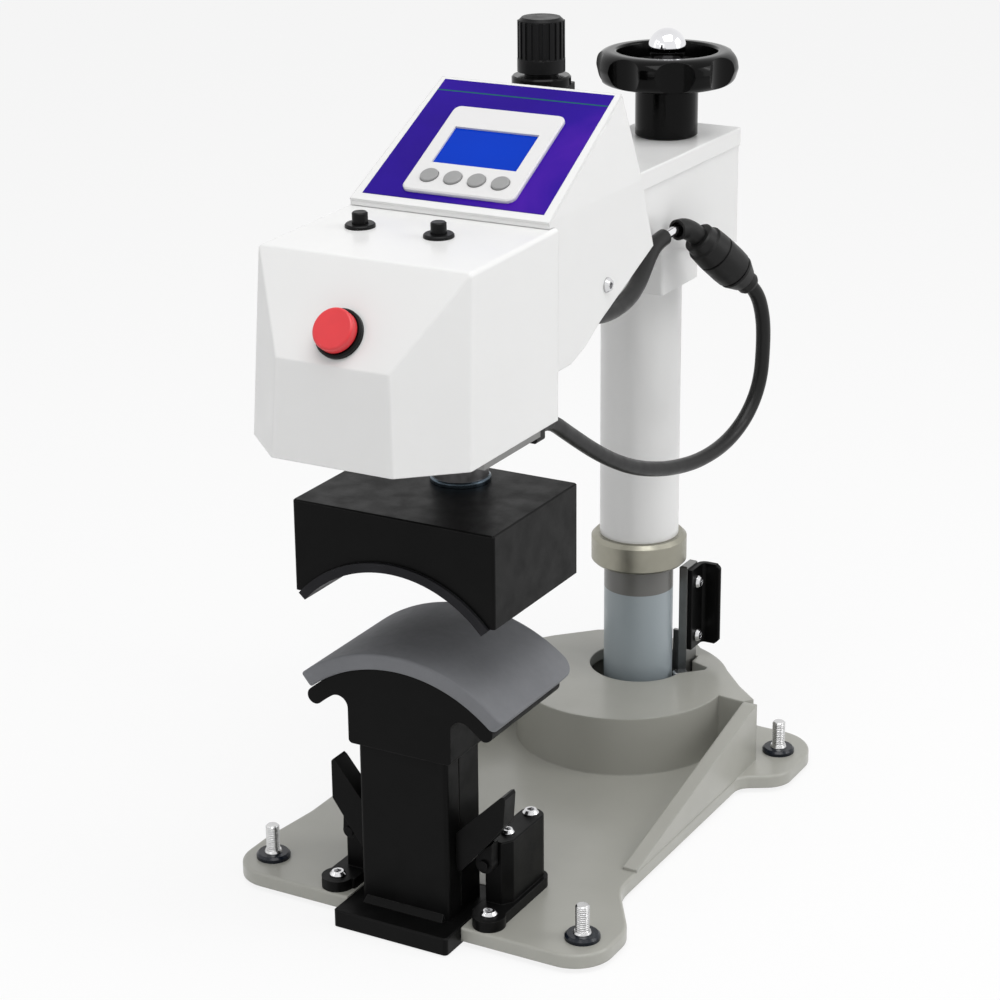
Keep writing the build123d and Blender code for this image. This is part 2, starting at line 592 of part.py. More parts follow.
# ================================ swing head ===============================================
sleeve_in = SLEEVE_R - SLEEVE_WALL
collar_top = COLLAR_Z + COLLAR_H
collar_shape = make_face(Polyline((sleeve_in, COLLAR_Z), (COLLAR_R - 2, COLLAR_Z), (COLLAR_R, COLLAR_Z + 2),
                                  (COLLAR_R, collar_top - 3), (COLLAR_R - 3, collar_top), (sleeve_in, collar_top), close=True))
add("collar", revolve(Plane.XZ * collar_shape, Axis.Z))
bearing_top = POST_TOP_Z + BEARING_T
sleeve = rod(0, 0, collar_top, SLEEVE_TOP_Z, SLEEVE_R) - rod(0, 0, collar_top - 1, bearing_top, sleeve_in)
add("sleeve_tube", sleeve)
bush = ring(0, 0, 0, BUSH_LENGTH, sleeve_in, POST_R + RUN_FIT)
bearing = ring(0, 0, POST_TOP_Z, bearing_top, POST_R - 0.5, POST_R - POST_WALL + 1)
add("sleeve_bearings", Pos(0, 0, COLLAR_Z) * bush, Pos(0, 0, POST_TOP_Z - BUSH_LENGTH - 2) * bush, bearing)

clamp = block(-BLOCK_HALF_W, BLOCK_HALF_W, BLOCK_FRONT_Y, BLOCK_REAR_Y, BLOCK_Z, BLOCK_TOP)
clamp = fillet(clamp.edges().filter_by(Axis.Z), 2.0)
lug = block(-LUG_HALF_W, LUG_HALF_W, BLOCK_REAR_Y - 4, BLOCK_REAR_Y + LUG_LENGTH, LUG_Z, LUG_Z + LUG_H)
lug = fillet(lug.edges().filter_by(Axis.Z).sort_by(Axis.Y)[-2:], 8.0)
clamp += lug
clamp -= rod(0, 0, BLOCK_Z - 1, BLOCK_TOP + 1, SLEEVE_R)
clamp -= rod(0, WHEEL_Y, LUG_Z - 1, LUG_Z + LUG_H + 1, SCREW_R + RUN_FIT)
add("clamp_block", clamp)

# ================================ arm ======================================================
def arm_profile(inset):
    slope = (ARM_BOTTOM_FRONT_Z - ARM_BOTTOM_REAR_Z) / (ARM_REAR_Y - ARM_BEND_Y)
    return [
        (ARM_REAR_Y - inset, ARM_BOTTOM_REAR_Z + inset * (1 + slope)),
        (ARM_REAR_Y - inset, ARM_TOP_Z + (1 if inset else 0)),
        (ARM_FRONT_Y + inset, ARM_TOP_Z + (1 if inset else 0)),
        (ARM_FRONT_Y + inset, ARM_BOTTOM_FRONT_Z + inset),
        (ARM_BEND_Y, ARM_BOTTOM_FRONT_Z + inset),
    ]


arm_inner = ARM_HALF_W - ARM_WALL
arm = side(arm_profile(0), -ARM_HALF_W, ARM_HALF_W) - side(arm_profile(ARM_WALL), -arm_inner, arm_inner)
arm -= block(-arm_inner, arm_inner, BLOCK_FRONT_Y - 3, BLOCK_REAR_Y + LUG_LENGTH + 3, BLOCK_Z, BLOCK_TOP)
web = block(-arm_inner, arm_inner, BLOCK_FRONT_Y - 3, BLOCK_REAR_Y + LUG_LENGTH + 3, ARM_WEB_Z, ARM_WEB_Z + ARM_WEB_T)
web -= rod(0, 0, ARM_WEB_Z - 1, ARM_WEB_Z + ARM_WEB_T + 1, SLEEVE_R + RUN_FIT)
web -= rod(0, WHEEL_Y, ARM_WEB_Z - 1, ARM_WEB_Z + ARM_WEB_T + 1, SCREW_R + 2)
arm += web
arm += block(-arm_inner, arm_inner, RAM_Y - CYL_R, ARM_FRONT_Y + ARM_WALL + 20, CYL_TOP_Z, ARM_TOP_Z)
inlet_cut = block(-INLET_W / 2, INLET_W / 2, ARM_REAR_Y - ARM_WALL - 1, ARM_REAR_Y + 1, INLET_Z - INLET_H / 2, INLET_Z + INLET_H / 2)
switch_cut = block(-SWITCH_W / 2, SWITCH_W / 2, ARM_REAR_Y - ARM_WALL - 1, ARM_REAR_Y + 1,
                   SWITCH_Z - SWITCH_H / 2, SWITCH_Z + SWITCH_H / 2)
arm -= inlet_cut
arm -= switch_cut
arm -= rod_y(0, AIR_Z, ARM_REAR_Y - ARM_WALL - 1, ARM_REAR_Y + 1, AIR_SPIGOT_R + 1)
add("arm", arm)

lid_half = ARM_HALF_W + LID_SHEET
lid_front = HOOD_REAR_MID_Y + 6.0
lid = block(-lid_half, lid_half, lid_front, ARM_REAR_Y + LID_SHEET, ARM_TOP_Z - LID_SKIRT, LID_TOP)
lid = fillet(lid.edges().filter_by(Axis.Z).sort_by(Axis.Y)[-2:], 2.0)
lid = fillet(lid.faces().sort_by(Axis.Z)[-1].edges().sort_by(Axis.Y)[1:], 1.2)
lid -= block(-ARM_HALF_W, ARM_HALF_W, lid_front - 1, ARM_REAR_Y, ARM_TOP_Z - LID_SKIRT - 1, ARM_TOP_Z)
lid -= rod(0, WHEEL_Y, ARM_TOP_Z - 1, LID_TOP + 1, SCREW_R + RUN_FIT)
add("arm_lid", lid)

# ---- rear panel: mains inlet, rocker switch, air spigot
inlet = block(-INLET_W / 2 - 4, INLET_W / 2 + 4, ARM_REAR_Y, ARM_REAR_Y + 2, INLET_Z - INLET_H / 2 - 2, INLET_Z + INLET_H / 2)
inlet = fillet(inlet.edges().filter_by(Axis.Y), 1.5)
inlet += block(-INLET_W / 2, INLET_W / 2, ARM_REAR_Y - 20, ARM_REAR_Y, INLET_Z - INLET_H / 2, INLET_Z + INLET_H / 2)
inlet -= block(-INLET_W / 2 + 2, INLET_W / 2 - 2, ARM_REAR_Y - 16, ARM_REAR_Y + 3, INLET_Z - INLET_H / 2 + 2, INLET_Z + INLET_H / 2 - 2)
for x, dz in ((-6, -1.5), (0, 1.5), (6, -1.5)):
    inlet += block(x - 1, x + 1, ARM_REAR_Y - 16.5, ARM_REAR_Y - 4.5, INLET_Z + dz - 2, INLET_Z + dz + 2)
bezel_sw = block(-SWITCH_W / 2 - 1.5, SWITCH_W / 2 + 1.5, ARM_REAR_Y, ARM_REAR_Y + 1.5,
                 SWITCH_Z - SWITCH_H / 2 - 1.5, SWITCH_Z + SWITCH_H / 2 + 1.5)
bezel_sw += block(-SWITCH_W / 2, SWITCH_W / 2, ARM_REAR_Y - 14, ARM_REAR_Y, SWITCH_Z - SWITCH_H / 2, SWITCH_Z + SWITCH_H / 2)
bezel_sw -= block(-SWITCH_W / 2 + 1.5, SWITCH_W / 2 - 1.5, ARM_REAR_Y - 9, ARM_REAR_Y + 2,
                  SWITCH_Z - SWITCH_H / 2 + 1.5, SWITCH_Z + SWITCH_H / 2 - 1.5)
add("power_inlet_module", inlet, bezel_sw)
rocker_half = SWITCH_W / 2 - 1.5 - AIR_GAP
rocker_y = ARM_REAR_Y - 3.0
rocker_points = [(rocker_half, rocker_y - 2.0), (rocker_half, rocker_y + 4.0), (0, rocker_y + 3.4),
                 (-rocker_half, rocker_y + 6.0), (-rocker_half, rocker_y - 2.0), (0, rocker_y - 4.0)]
rocker = extrude(make_face(Polyline(*rocker_points, close=True)), (SWITCH_H - 3 - 2 * AIR_GAP) / 2, both=True)
rocker &= Pos(0, rocker_y, 0) * Cylinder(rocker_half, SWITCH_H)
add("power_rocker", Pos(0, 0, SWITCH_Z) * rocker)
fitting = extrude(Plane((0, ARM_REAR_Y, AIR_Z), x_dir=(1, 0, 0), z_dir=(0, 1, 0)) * RegularPolygon(AIR_HEX_R, 6), AIR_HEX_T)
fitting += rod_y(0, AIR_Z, ARM_REAR_Y - ARM_WALL - 6, ARM_REAR_Y, AIR_SPIGOT_R + 1)
fitting += rod_y(0, AIR_Z, ARM_REAR_Y + AIR_HEX_T, REAR_REACH, AIR_SPIGOT_R)
add("air_inlet_fitting", fitting)

# ================================ handwheel ================================================
hub_z0 = LID_TOP + WHEEL_SEAT_GAP
hub_z1 = hub_z0 + WHEEL_HUB_H
rim_top = hub_z1 + WHEEL_RIM_H
dish_z = rim_top - WHEEL_DISH_DEPTH
rim_mid = (hub_z1 + rim_top) / 2
hub_face = make_face(Polyline((0, hub_z0), (WHEEL_HUB_R - 1, hub_z0), (WHEEL_HUB_R, hub_z0 + 1), (WHEEL_HUB_R, hub_z1 + 4),
                              (0, hub_z1 + 4), close=True))
hub = revolve(Plane.XZ * hub_face, Axis.Z)
rim_points = [(0, hub_z1), (WHEEL_R - 4, hub_z1), (WHEEL_R, rim_mid), (WHEEL_R - 2, rim_top), (WHEEL_DISH_R, rim_top),
              (WHEEL_DISH_R - 2, dish_z), (BALL_R - 3, dish_z), (BALL_R - 5, dish_z + 5), (0, dish_z + 5)]
rim_outline = Polyline(*rim_points, close=True)
rim_face = make_face(rim_outline)
round_off = [(WHEEL_R - 4, hub_z1, 8.0), (WHEEL_R, rim_mid, 7.0), (WHEEL_R - 2, rim_top, 10.0), (WHEEL_DISH_R, rim_top, 2.0),
             (WHEEL_DISH_R - 2, dish_z, 4.0)]
for x, z, r in round_off:
    corner = rim_face.vertices().sort_by_distance((x, z, 0))[0]
    rim_face = fillet(corner, r)
rim = revolve(Plane.XZ * rim_face, Axis.Z)
grip = make_face(Circle(WHEEL_R + 1))
for i in range(WHEEL_SCALLOPS):
    angle = math.radians((i + 0.72) * 360 / WHEEL_SCALLOPS)
    reach = WHEEL_R + WHEEL_SCALLOP_R - WHEEL_SCALLOP_DEPTH
    grip -= Pos(reach * math.cos(angle), reach * math.sin(angle)) * Circle(WHEEL_SCALLOP_R)
grip = fillet(grip.vertices(), WHEEL_RIDGE_R)
wheel = hub + (rim & extrude(Pos(0, 0, hub_z1 - 1) * grip, WHEEL_RIM_H + 2))
add("handwheel", Pos(0, WHEEL_Y, 0) * wheel)
ball = Pos(0, WHEEL_Y, BALL_Z) * Sphere(BALL_R)
ball -= rod(0, WHEEL_Y, 0, dish_z + 5, BALL_R * 2)
add("handwheel_ball", ball)
screw = rod(0, WHEEL_Y, SCREW_BOTTOM_Z, hub_z0, SCREW_R)
add("lift_screw", chamfer(screw.faces().sort_by(Axis.Z)[0].edges(), 1.5))

# ================================ regulator ================================================
reg_body = Pos(REG_X, REG_Y, (LID_TOP + REG_BODY_TOP) / 2) * Box(REG_BODY_W, REG_BODY_W, REG_BODY_TOP - LID_TOP)
reg_body = fillet(reg_body.edges().filter_by(Axis.Z), 3.0)
add("regulator_body", reg_body)
bonnet = rod(REG_X, REG_Y, REG_BODY_TOP, REG_BODY_TOP + REG_FLANGE_T, REG_FLANGE_R)
bonnet = chamfer(bonnet.faces().sort_by(Axis.Z)[-1].edges(), 1.2)
bonnet += rod(REG_X, REG_Y, REG_BODY_TOP + REG_FLANGE_T, KNOB_Z + KNOB_SKIRT_H, REG_NECK_R)
add("regulator_bonnet", bonnet)
knob = revolve(Plane.XZ * make_face(Polyline(
    (0, KNOB_Z), (KNOB_R, KNOB_Z), (KNOB_R, KNOB_Z + KNOB_SKIRT_H), (KNOB_R - 1.2, KNOB_Z + KNOB_SKIRT_H + 1),
    (KNOB_R - 1.2, KNOB_TOP_Z - 2), (KNOB_R - 3.2, KNOB_TOP_Z), (0, KNOB_TOP_Z), close=True)), Axis.Z)
for i in range(KNOB_RIBS):
    rib = Pos(KNOB_R - 1.3, 0, (KNOB_Z + KNOB_SKIRT_H + KNOB_TOP_Z - 2.5) / 2) * Box(2.2, 2.6, KNOB_TOP_Z - 2.5 - KNOB_Z - KNOB_SKIRT_H)
    knob += Rot(0, 0, i * 360 / KNOB_RIBS) * rib
knob -= rod(0, 0, KNOB_Z - 1, KNOB_Z + KNOB_SKIRT_H + AIR_GAP, REG_NECK_R + RUN_FIT)
add("regulator_knob", Pos(REG_X, REG_Y, 0) * knob)

# ================================ nose =====================================================
nose_top_rear_z = NOSE_TOP_Z + NOSE_TOP_RISE
chin_y = NOSE_FRONT_Y + NOSE_CHIN_LEAN


def plane_through(a, b, c, inside, offset):
    """A cutting plane through three points, facing away from inside, moved inwards by offset."""
    normal = (Vector(*b) - Vector(*a)).cross(Vector(*c) - Vector(*a)).normalized()
    if normal.dot(Vector(*inside) - Vector(*a)) > 0:
        normal = -normal
    return Plane(origin=Vector(*a) - normal * offset, z_dir=normal)


def nose_block(inset, open_faces):
    """The nose's faceted body, with every wall moved in by inset, and its open faces moved out."""
    inside = (0, -340, 420)
    brow = (NOSE_TOP_HALF_W, NOSE_BROW_Y, NOSE_TOP_Z)
    chin = (NOSE_CHIN_HALF_W, chin_y, NOSE_CHIN_Z)
    jaw = (NOSE_CHIN_HALF_W + 1.0, NOSE_FRONT_Y, NOSE_BOTTOM_Z)
    cheek = (NOSE_BOTTOM_HALF_W, NOSE_CHEEK_Y, NOSE_BOTTOM_Z)
    rear_top = (NOSE_TOP_HALF_W, NOSE_REAR_TOP_Y, nose_top_rear_z)
    rear_low = (NOSE_BOTTOM_HALF_W, NOSE_REAR_BOTTOM_Y, NOSE_BOTTOM_Z)
    out = -5.0 if open_faces else 0.0
    cuts = [
        plane_through(brow, rear_top, (0, NOSE_BROW_Y, NOSE_TOP_Z), inside, inset),
        plane_through(brow, chin, (0, NOSE_BROW_Y, NOSE_TOP_Z), inside, inset),
        plane_through(chin, jaw, (0, NOSE_FRONT_Y, NOSE_BOTTOM_Z), inside, inset),
        plane_through(brow, chin, cheek, inside, inset),
        plane_through(brow, cheek, rear_low, inside, inset),
        plane_through(rear_top, rear_low, (0, NOSE_REAR_BOTTOM_Y, NOSE_BOTTOM_Z), inside, out),
        plane_through(cheek, rear_low, (0, NOSE_CHEEK_Y, NOSE_BOTTOM_Z), inside, out),
    ]
    solid = block(-100, 100, NOSE_FRONT_Y - 20, NOSE_REAR_TOP_Y + 20, NOSE_BOTTOM_Z - 20, nose_top_rear_z + 20)
    for cut in cuts:
        solid = split(solid, bisect_by=cut, keep=Keep.BOTTOM)
        mirrored = Plane(origin=(-cut.origin.X, cut.origin.Y, cut.origin.Z), z_dir=(-cut.z_dir.X, cut.z_dir.Y, cut.z_dir.Z))
        solid = split(solid, bisect_by=mirrored, keep=Keep.BOTTOM)
    return solid


nose_outer = nose_block(0, False)
soft_edges = [e for e in nose_outer.edges()
              if e.center().Z > NOSE_BOTTOM_Z + 2 and e.center().Y < NOSE_REAR_BOTTOM_Y - 2]
nose_outer = fillet(soft_edges, NOSE_EDGE_R)
nose_cavity = nose_block(NOSE_WALL, True)
nose = nose_outer - nose_cavity

start_places = [(START_MID_X - START_X, START_Y), (START_MID_X + START_X, START_Y)]
top_slope = NOSE_TOP_RISE / (NOSE_REAR_TOP_Y - NOSE_BROW_Y)
start_z = NOSE_TOP_Z + top_slope * (START_Y - NOSE_BROW_Y)
top_tilt = math.degrees(math.atan(top_slope))
start_planes = [Pos(x, y, start_z) * Rot(top_tilt, 0, 0) for x, y in start_places]
brow_normal = Vector(0, -(NOSE_TOP_Z - NOSE_CHIN_Z), NOSE_BROW_Y - chin_y).normalized()
stop_y = chin_y + (STOP_Z - NOSE_CHIN_Z) / (NOSE_TOP_Z - NOSE_CHIN_Z) * (NOSE_BROW_Y - chin_y)
stop_plane = Plane(origin=(0, stop_y, STOP_Z), x_dir=(1, 0, 0), z_dir=brow_normal)
for place in start_planes:
    nose -= place * Cylinder(START_CAP_R + AIR_GAP, 20)
stop_stem_r = STOP_CAP_R - 5
nose -= stop_plane * Cylinder(stop_stem_r + AIR_GAP, 20)
add("nose_housing", nose)

under = nose_block(NOSE_WALL, True) & block(-100, 100, NOSE_FRONT_Y - 10, NOSE_REAR_BOTTOM_Y + 0.5, NOSE_BOTTOM_Z, NOSE_BOTTOM_Z + UNDERPLATE_T)
under += block(RAM_X - UNDERPLATE_TONGUE_HALF_W, RAM_X + UNDERPLATE_TONGUE_HALF_W, NOSE_REAR_BOTTOM_Y - 2, RAM_Y + CYL_R + 4,
               NOSE_BOTTOM_Z, NOSE_BOTTOM_Z + UNDERPLATE_T)
under -= rod(RAM_X, RAM_Y, NOSE_BOTTOM_Z - 1, NOSE_BOTTOM_Z + UNDERPLATE_T + 1, ROD_R + 1)
under += block(STRIP_X0, STRIP_X1, STRIP_FRONT_Y, STRIP_REAR_Y, NOSE_BOTTOM_Z - STRIP_DROP, NOSE_BOTTOM_Z + 1)
add("nose_underplate", under)

collar_btn = Cylinder(START_COLLAR_R, START_COLLAR_T, align=(Align.CENTER, Align.CENTER, Align.MIN))
collar_btn = chamfer(collar_btn.faces().sort_by(Axis.Z)[-1].edges(), 0.8)
collar_btn -= Cylinder(START_CAP_R + AIR_GAP, 20)
cap_btn = Cylinder(START_CAP_R, START_PROUD + 8, align=(Align.CENTER, Align.CENTER, Align.MIN))
cap_btn = Pos(0, 0, -8) * cap_btn
cap_btn = chamfer(cap_btn.faces().sort_by(Axis.Z)[-1].edges(), 0.8)
add("start_button_left", start_planes[0] * cap_btn)
add("start_button_right", start_planes[1] * cap_btn)
ring_btn = Cylinder(STOP_COLLAR_R, STOP_COLLAR_T, align=(Align.CENTER, Align.CENTER, Align.MIN))
ring_btn = chamfer(ring_btn.faces().sort_by(Axis.Z)[-1].edges(), 1.0)
ring_btn -= Cylinder(stop_stem_r + AIR_GAP, 30)
ring_btn -= Pos(0, 0, STOP_COLLAR_T - STOP_SINK) * Cylinder(STOP_CAP_R + AIR_GAP, 10, align=(Align.CENTER, Align.CENTER, Align.MIN))
add("button_collars", *[place * collar_btn for place in start_planes], stop_plane * ring_btn)
stop_cap_z = STOP_COLLAR_T + STOP_TRAVEL + AIR_GAP - STOP_SINK
cap = Pos(0, 0, stop_cap_z) * Cylinder(STOP_CAP_R, STOP_CAP_T, align=(Align.CENTER, Align.CENTER, Align.MIN))
cap = fillet(cap.faces().sort_by(Axis.Z)[-1].edges(), 1.8)
cap += Pos(0, 0, -8) * Cylinder(stop_stem_r, 8 + stop_cap_z, align=(Align.CENTER, Align.CENTER, Align.MIN))
add("stop_button_cap", stop_plane * cap)

# ================================ hood and panel ===========================================
ridge_y = PANEL_FOOT_Y + PANEL_LENGTH * math.cos(SLOPE)
ridge_z = PANEL_FOOT_Z + PANEL_LENGTH * math.sin(SLOPE)
nose_rear_slope = (NOSE_REAR_TOP_Y - NOSE_REAR_BOTTOM_Y) / (nose_top_rear_z - NOSE_BOTTOM_Z)
hood_front_low_y = NOSE_REAR_BOTTOM_Y + nose_rear_slope * (HOOD_BOTTOM_Z - NOSE_BOTTOM_Z) + SEAM
lip_z = nose_top_rear_z + SEAM
down_y = PANEL_T * math.sin(SLOPE)
down_z = PANEL_T * math.cos(SLOPE)


def hood_outline(inset):
    return [
        (PANEL_FOOT_Y + down_y + inset, lip_z - inset),
        (PANEL_FOOT_Y + down_y + inset, PANEL_FOOT_Z - down_z - inset * 0.3),
        (ridge_y + down_y - inset, ridge_z - down_z - inset),
        (HOOD_REAR_MID_Y - inset, HOOD_REAR_MID_Z),
        (HOOD_TAIL_Y - inset * 1.6, HOOD_TAIL_Z + inset * 0.4),
        (HOOD_BELLY_Y - inset * 0.4, HOOD_BELLY_Z + inset),
        (HOOD_BELLY_Y - 22, HOOD_BELLY_Z - 12 + inset),
        (HOOD_BOTTOM_Y, HOOD_BOTTOM_Z + inset),
        (hood_front_low_y - (inset and 2), HOOD_BOTTOM_Z + inset),
        (NOSE_REAR_TOP_Y + SEAM - (inset and 2), lip_z - inset),
    ]


def hood_block(inset):
    body = side(hood_outline(inset), -HOOD_HALF_W - 5, HOOD_HALF_W + 5)
    half = HOOD_HALF_W - inset
    half_top = HOOD_TOP_HALF_W - inset
    taper = front([(-half, HOOD_BOTTOM_Z - 10), (half, HOOD_BOTTOM_Z - 10), (half, PANEL_FOOT_Z),
                   (half_top, ridge_z + 2), (-half_top, ridge_z + 2), (-half, PANEL_FOOT_Z)], PANEL_FOOT_Y - 20, HOOD_TAIL_Y + 20)
    return body & taper


hood = hood_block(0) - hood_block(HOOD_WALL)
window = Plane(origin=(0, PANEL_FOOT_Y, PANEL_FOOT_Z), x_dir=(1, 0, 0), z_dir=(0, -math.sin(SLOPE), math.cos(SLOPE)))
panel_place = window
cut_w = BEZEL_W - 2 * BEZEL_LAND
cut_h = BEZEL_H - 2 * BEZEL_LAND
hood -= panel_place * Pos(BEZEL_X, BEZEL_S, 0) * Box(cut_w, cut_h, 20)
hood -= rod(RAM_X, RAM_Y, NOSE_BOTTOM_Z, CYL_TOP_Z, CYL_R + SLIP)
arm_gap = side([(y, z) for y, z in [
    (ARM_FRONT_Y - SLIP, ARM_BOTTOM_FRONT_Z - SLIP), (ARM_BEND_Y, ARM_BOTTOM_FRONT_Z - SLIP - 1), (HOOD_TAIL_Y + 30, ARM_BOTTOM_FRONT_Z - 6),
    (HOOD_TAIL_Y + 30, LID_TOP + SLIP), (ARM_FRONT_Y - SLIP, LID_TOP + SLIP)]], -lid_half - SLIP, lid_half + SLIP)
hood -= arm_gap
add("hood", hood)

panel_points = [(-HOOD_HALF_W, 0), (HOOD_HALF_W, 0), (HOOD_TOP_HALF_W, PANEL_LENGTH), (-HOOD_TOP_HALF_W, PANEL_LENGTH)]
panel = extrude(panel_place * Pos(0, 0, -PANEL_T) * make_face(Polyline(*panel_points, close=True)), PANEL_T)
panel -= panel_place * Pos(BEZEL_X, BEZEL_S, 0) * Box(cut_w, cut_h, 20)
add("control_panel", panel)
om = OVERLAY_MARGIN
overlay_points = [(-HOOD_HALF_W + om, om), (HOOD_HALF_W - om, om),
                  (HOOD_TOP_HALF_W - om * 0.6, PANEL_LENGTH - om * 0.4), (-HOOD_TOP_HALF_W + om * 0.6, PANEL_LENGTH - om * 0.4)]
overlay = extrude(panel_place * make_face(Polyline(*overlay_points, close=True)), OVERLAY_T)
overlay -= panel_place * Pos(BEZEL_X, BEZEL_S, 0) * Box(cut_w, cut_h, 20)
add("panel_overlay", overlay)

bezel = extrude(RectangleRounded(BEZEL_W, BEZEL_H, BEZEL_CORNER_R), BEZEL_T)
bezel = Pos(BEZEL_X, BEZEL_S, OVERLAY_T) * chamfer(bezel.faces().sort_by(Axis.Z)[-1].edges(), 1.0)
bezel -= Pos(BEZEL_X, LCD_S, 0) * Box(LCD_W, LCD_H, 20)
key_places = [(BEZEL_X + (i - 1.5) * KEY_PITCH, KEY_S) for i in range(4)]
for x, s in key_places:
    bezel -= Pos(x, s, 0) * Cylinder(KEY_R + AIR_GAP, 20)
add("controller_bezel", panel_place * bezel)
lcd_z = OVERLAY_T - LCD_DEPTH
lcd = Pos(BEZEL_X, LCD_S, lcd_z) * extrude(Rectangle(LCD_W, LCD_H), LCD_DEPTH + BEZEL_T - LCD_RECESS)
add("lcd", panel_place * lcd)
key_top = OVERLAY_T + BEZEL_T + KEY_PROUD
key_foot = OVERLAY_T - KEY_DEPTH
for i, (x, s) in enumerate(key_places):
    key = Pos(0, 0, key_foot) * Cylinder(KEY_R, key_top - key_foot, align=(Align.CENTER, Align.CENTER, Align.MIN))
    key = fillet(key.faces().sort_by(Axis.Z)[-1].edges(), 0.7)
    add(f"controller_key_{i + 1}", panel_place * Pos(x, s, 0) * key)

side_screw = Plane(origin=(HOOD_HALF_W, SIDE_SCREW_Y, SIDE_SCREW_Z), x_dir=(0, 1, 0), z_dir=(1, 0, 0)) * socket_screw(SIDE_SCREW_R, 3.2, 2.6)
add("hood_screws", side_screw, mirror(side_screw, Plane.YZ))

# ================================ cylinder and ram =========================================
cyl_z0 = NOSE_BOTTOM_Z + UNDERPLATE_T
barrel = rod(RAM_X, RAM_Y, cyl_z0, CYL_TOP_Z, CYL_R)
barrel -= rod(RAM_X, RAM_Y, cyl_z0 + GLAND_T, CYL_TOP_Z - CYL_CAP_T, CYL_BORE_R)
barrel -= rod(RAM_X, RAM_Y, cyl_z0 - 1, cyl_z0 + GLAND_T + 1, ROD_R + RUN_FIT)
add("air_cylinder", barrel)
piston_z1 = CYL_TOP_Z - CYL_CAP_T - 6
piston_z0 = piston_z1 - PISTON_T
piston = rod(RAM_X, RAM_Y, piston_z0, piston_z1, CYL_BORE_R - RUN_FIT)
piston -= ring(RAM_X, RAM_Y, piston_z0 + 5, piston_z1 - 5, CYL_BORE_R + 1, CYL_BORE_R - 2)
add("piston_rod", rod(RAM_X, RAM_Y, HEATER_TOP, piston_z0, ROD_R) + piston)
collar_ring = ring(RAM_X, RAM_Y, HEATER_TOP, HEATER_TOP + ROD_COLLAR_T, ROD_COLLAR_R, ROD_R)
add("rod_collar", chamfer(collar_ring.faces().sort_by(Axis.Z)[-1].outer_wire().edges(), 1.0))
heater_back = HEATER_FRONT_Y + HEATER_LENGTH
heater = block(-HEATER_HALF_W, HEATER_HALF_W, HEATER_FRONT_Y, heater_back, HEATER_Z, HEATER_TOP)
heater = fillet(heater.edges().filter_by(Axis.Z), 2.0)
heater = chamfer(heater.faces().sort_by(Axis.Z)[-1].edges(), 1.0)
heater -= rod_y(0, SHOE_AXIS_Z, HEATER_FRONT_Y - 1, heater_back + 1, SHOE_R + SHOE_T)
add("heater_block", heater)
shoe_angle_half = 67.4 * (SHOE_R + SHOE_T) / SHOE_R
add("heating_shoe", arc_band(SHOE_AXIS_Z, SHOE_R + SHOE_T, SHOE_R, shoe_angle_half, HEATER_FRONT_Y - 2.5, heater_back - 2))

# ================================ cable, hose and their fittings ===========================
side_x = ARM_HALF_W
gland_y = -288.0
gland = block(54.0, 72.0, -299.0, gland_y, NOSE_BOTTOM_Z - 14, NOSE_BOTTOM_Z)
gland = fillet(gland.edges().filter_by(Axis.Y), 2.0)
add("cable_gland", gland)

cable_points = [
    (62.0, gland_y, 352.8), (62.0, -268.0, 352.8), (62.5, -232.0, 329.0), (63.5, -193.0, 304.3), (66.0, -158.0, 285.7),
    (68.5, -125.0, 272.8), (71.5, -88.0, 263.0), (75.0, -50.0, 258.0), (79.0, -13.5, 261.2), (83.5, 13.0, 275.2),
    (87.0, 27.5, 298.0), (89.5, 28.5, 327.0), (90.3, 27.0, 350.0), (88.4, 23.3, 366.2), (82.3, 14.2, 376.4),
]


def smooth_cable(name, points, r):
    """Straight runs joined by arcs as large as the two runs beside them allow."""
    vectors = [Vector(*p) for p in points]
    radii = []
    for a, b, c in zip(vectors, vectors[1:], vectors[2:]):
        turn = math.radians((b - a).get_angle(c - b))
        radii.append(0.45 * min((b - a).length, (c - b).length) / math.tan(turn / 2))
    path = FilletPolyline(*points, radius=radii)
    start = Plane(origin=path @ 0, z_dir=path % 0)
    tube = sweep(start * Circle(r), path=path)
    print(name, "radii", [round(v, 1) for v in radii], "length", round(path.length, 1),
          "volume ratio", round(tube.volume / (math.pi * r * r * path.length), 4))
    return tube, path


cable, cable_path = smooth_cable("power_cable", cable_points, CABLE_R)
add("power_cable", cable)
end = cable_path @ 1
end_dir = (cable_path % 1).normalized()
plug_start = Vector(end.X, end.Y, end.Z)
plug_axis = Plane(origin=plug_start, z_dir=end_dir)
plug_shape = [(0, 0), (CABLE_R + 2.2, 0), (CABLE_R + 3.2, 2), (CABLE_R + 3.2, 7), (CABLE_R + 4.6, 8), (PLUG_R - 1.0, 17),
              (PLUG_R - 1.0, 18.5), (PLUG_R - 2.0, 19), (PLUG_R - 2.0, 20), (PLUG_R - 0.4, 20.5), (PLUG_R, 27), (PLUG_R, 41),
              (PLUG_R - 1.2, 41.5), (PLUG_R - 1.2, 42.5), (PLUG_R, 43), (PLUG_R - 0.8, 54), (PLUG_R - 2.6, 55),
              (PLUG_R - 3.2, PLUG_LENGTH - 1), (PLUG_R - 4.6, PLUG_LENGTH), (0, PLUG_LENGTH)]
plug = revolve(Plane.XZ * make_face(Polyline(*plug_shape, close=True)), Axis.Z)
add("cable_plug", plug_axis * plug)
plug_end = plug_start + end_dir * PLUG_LENGTH

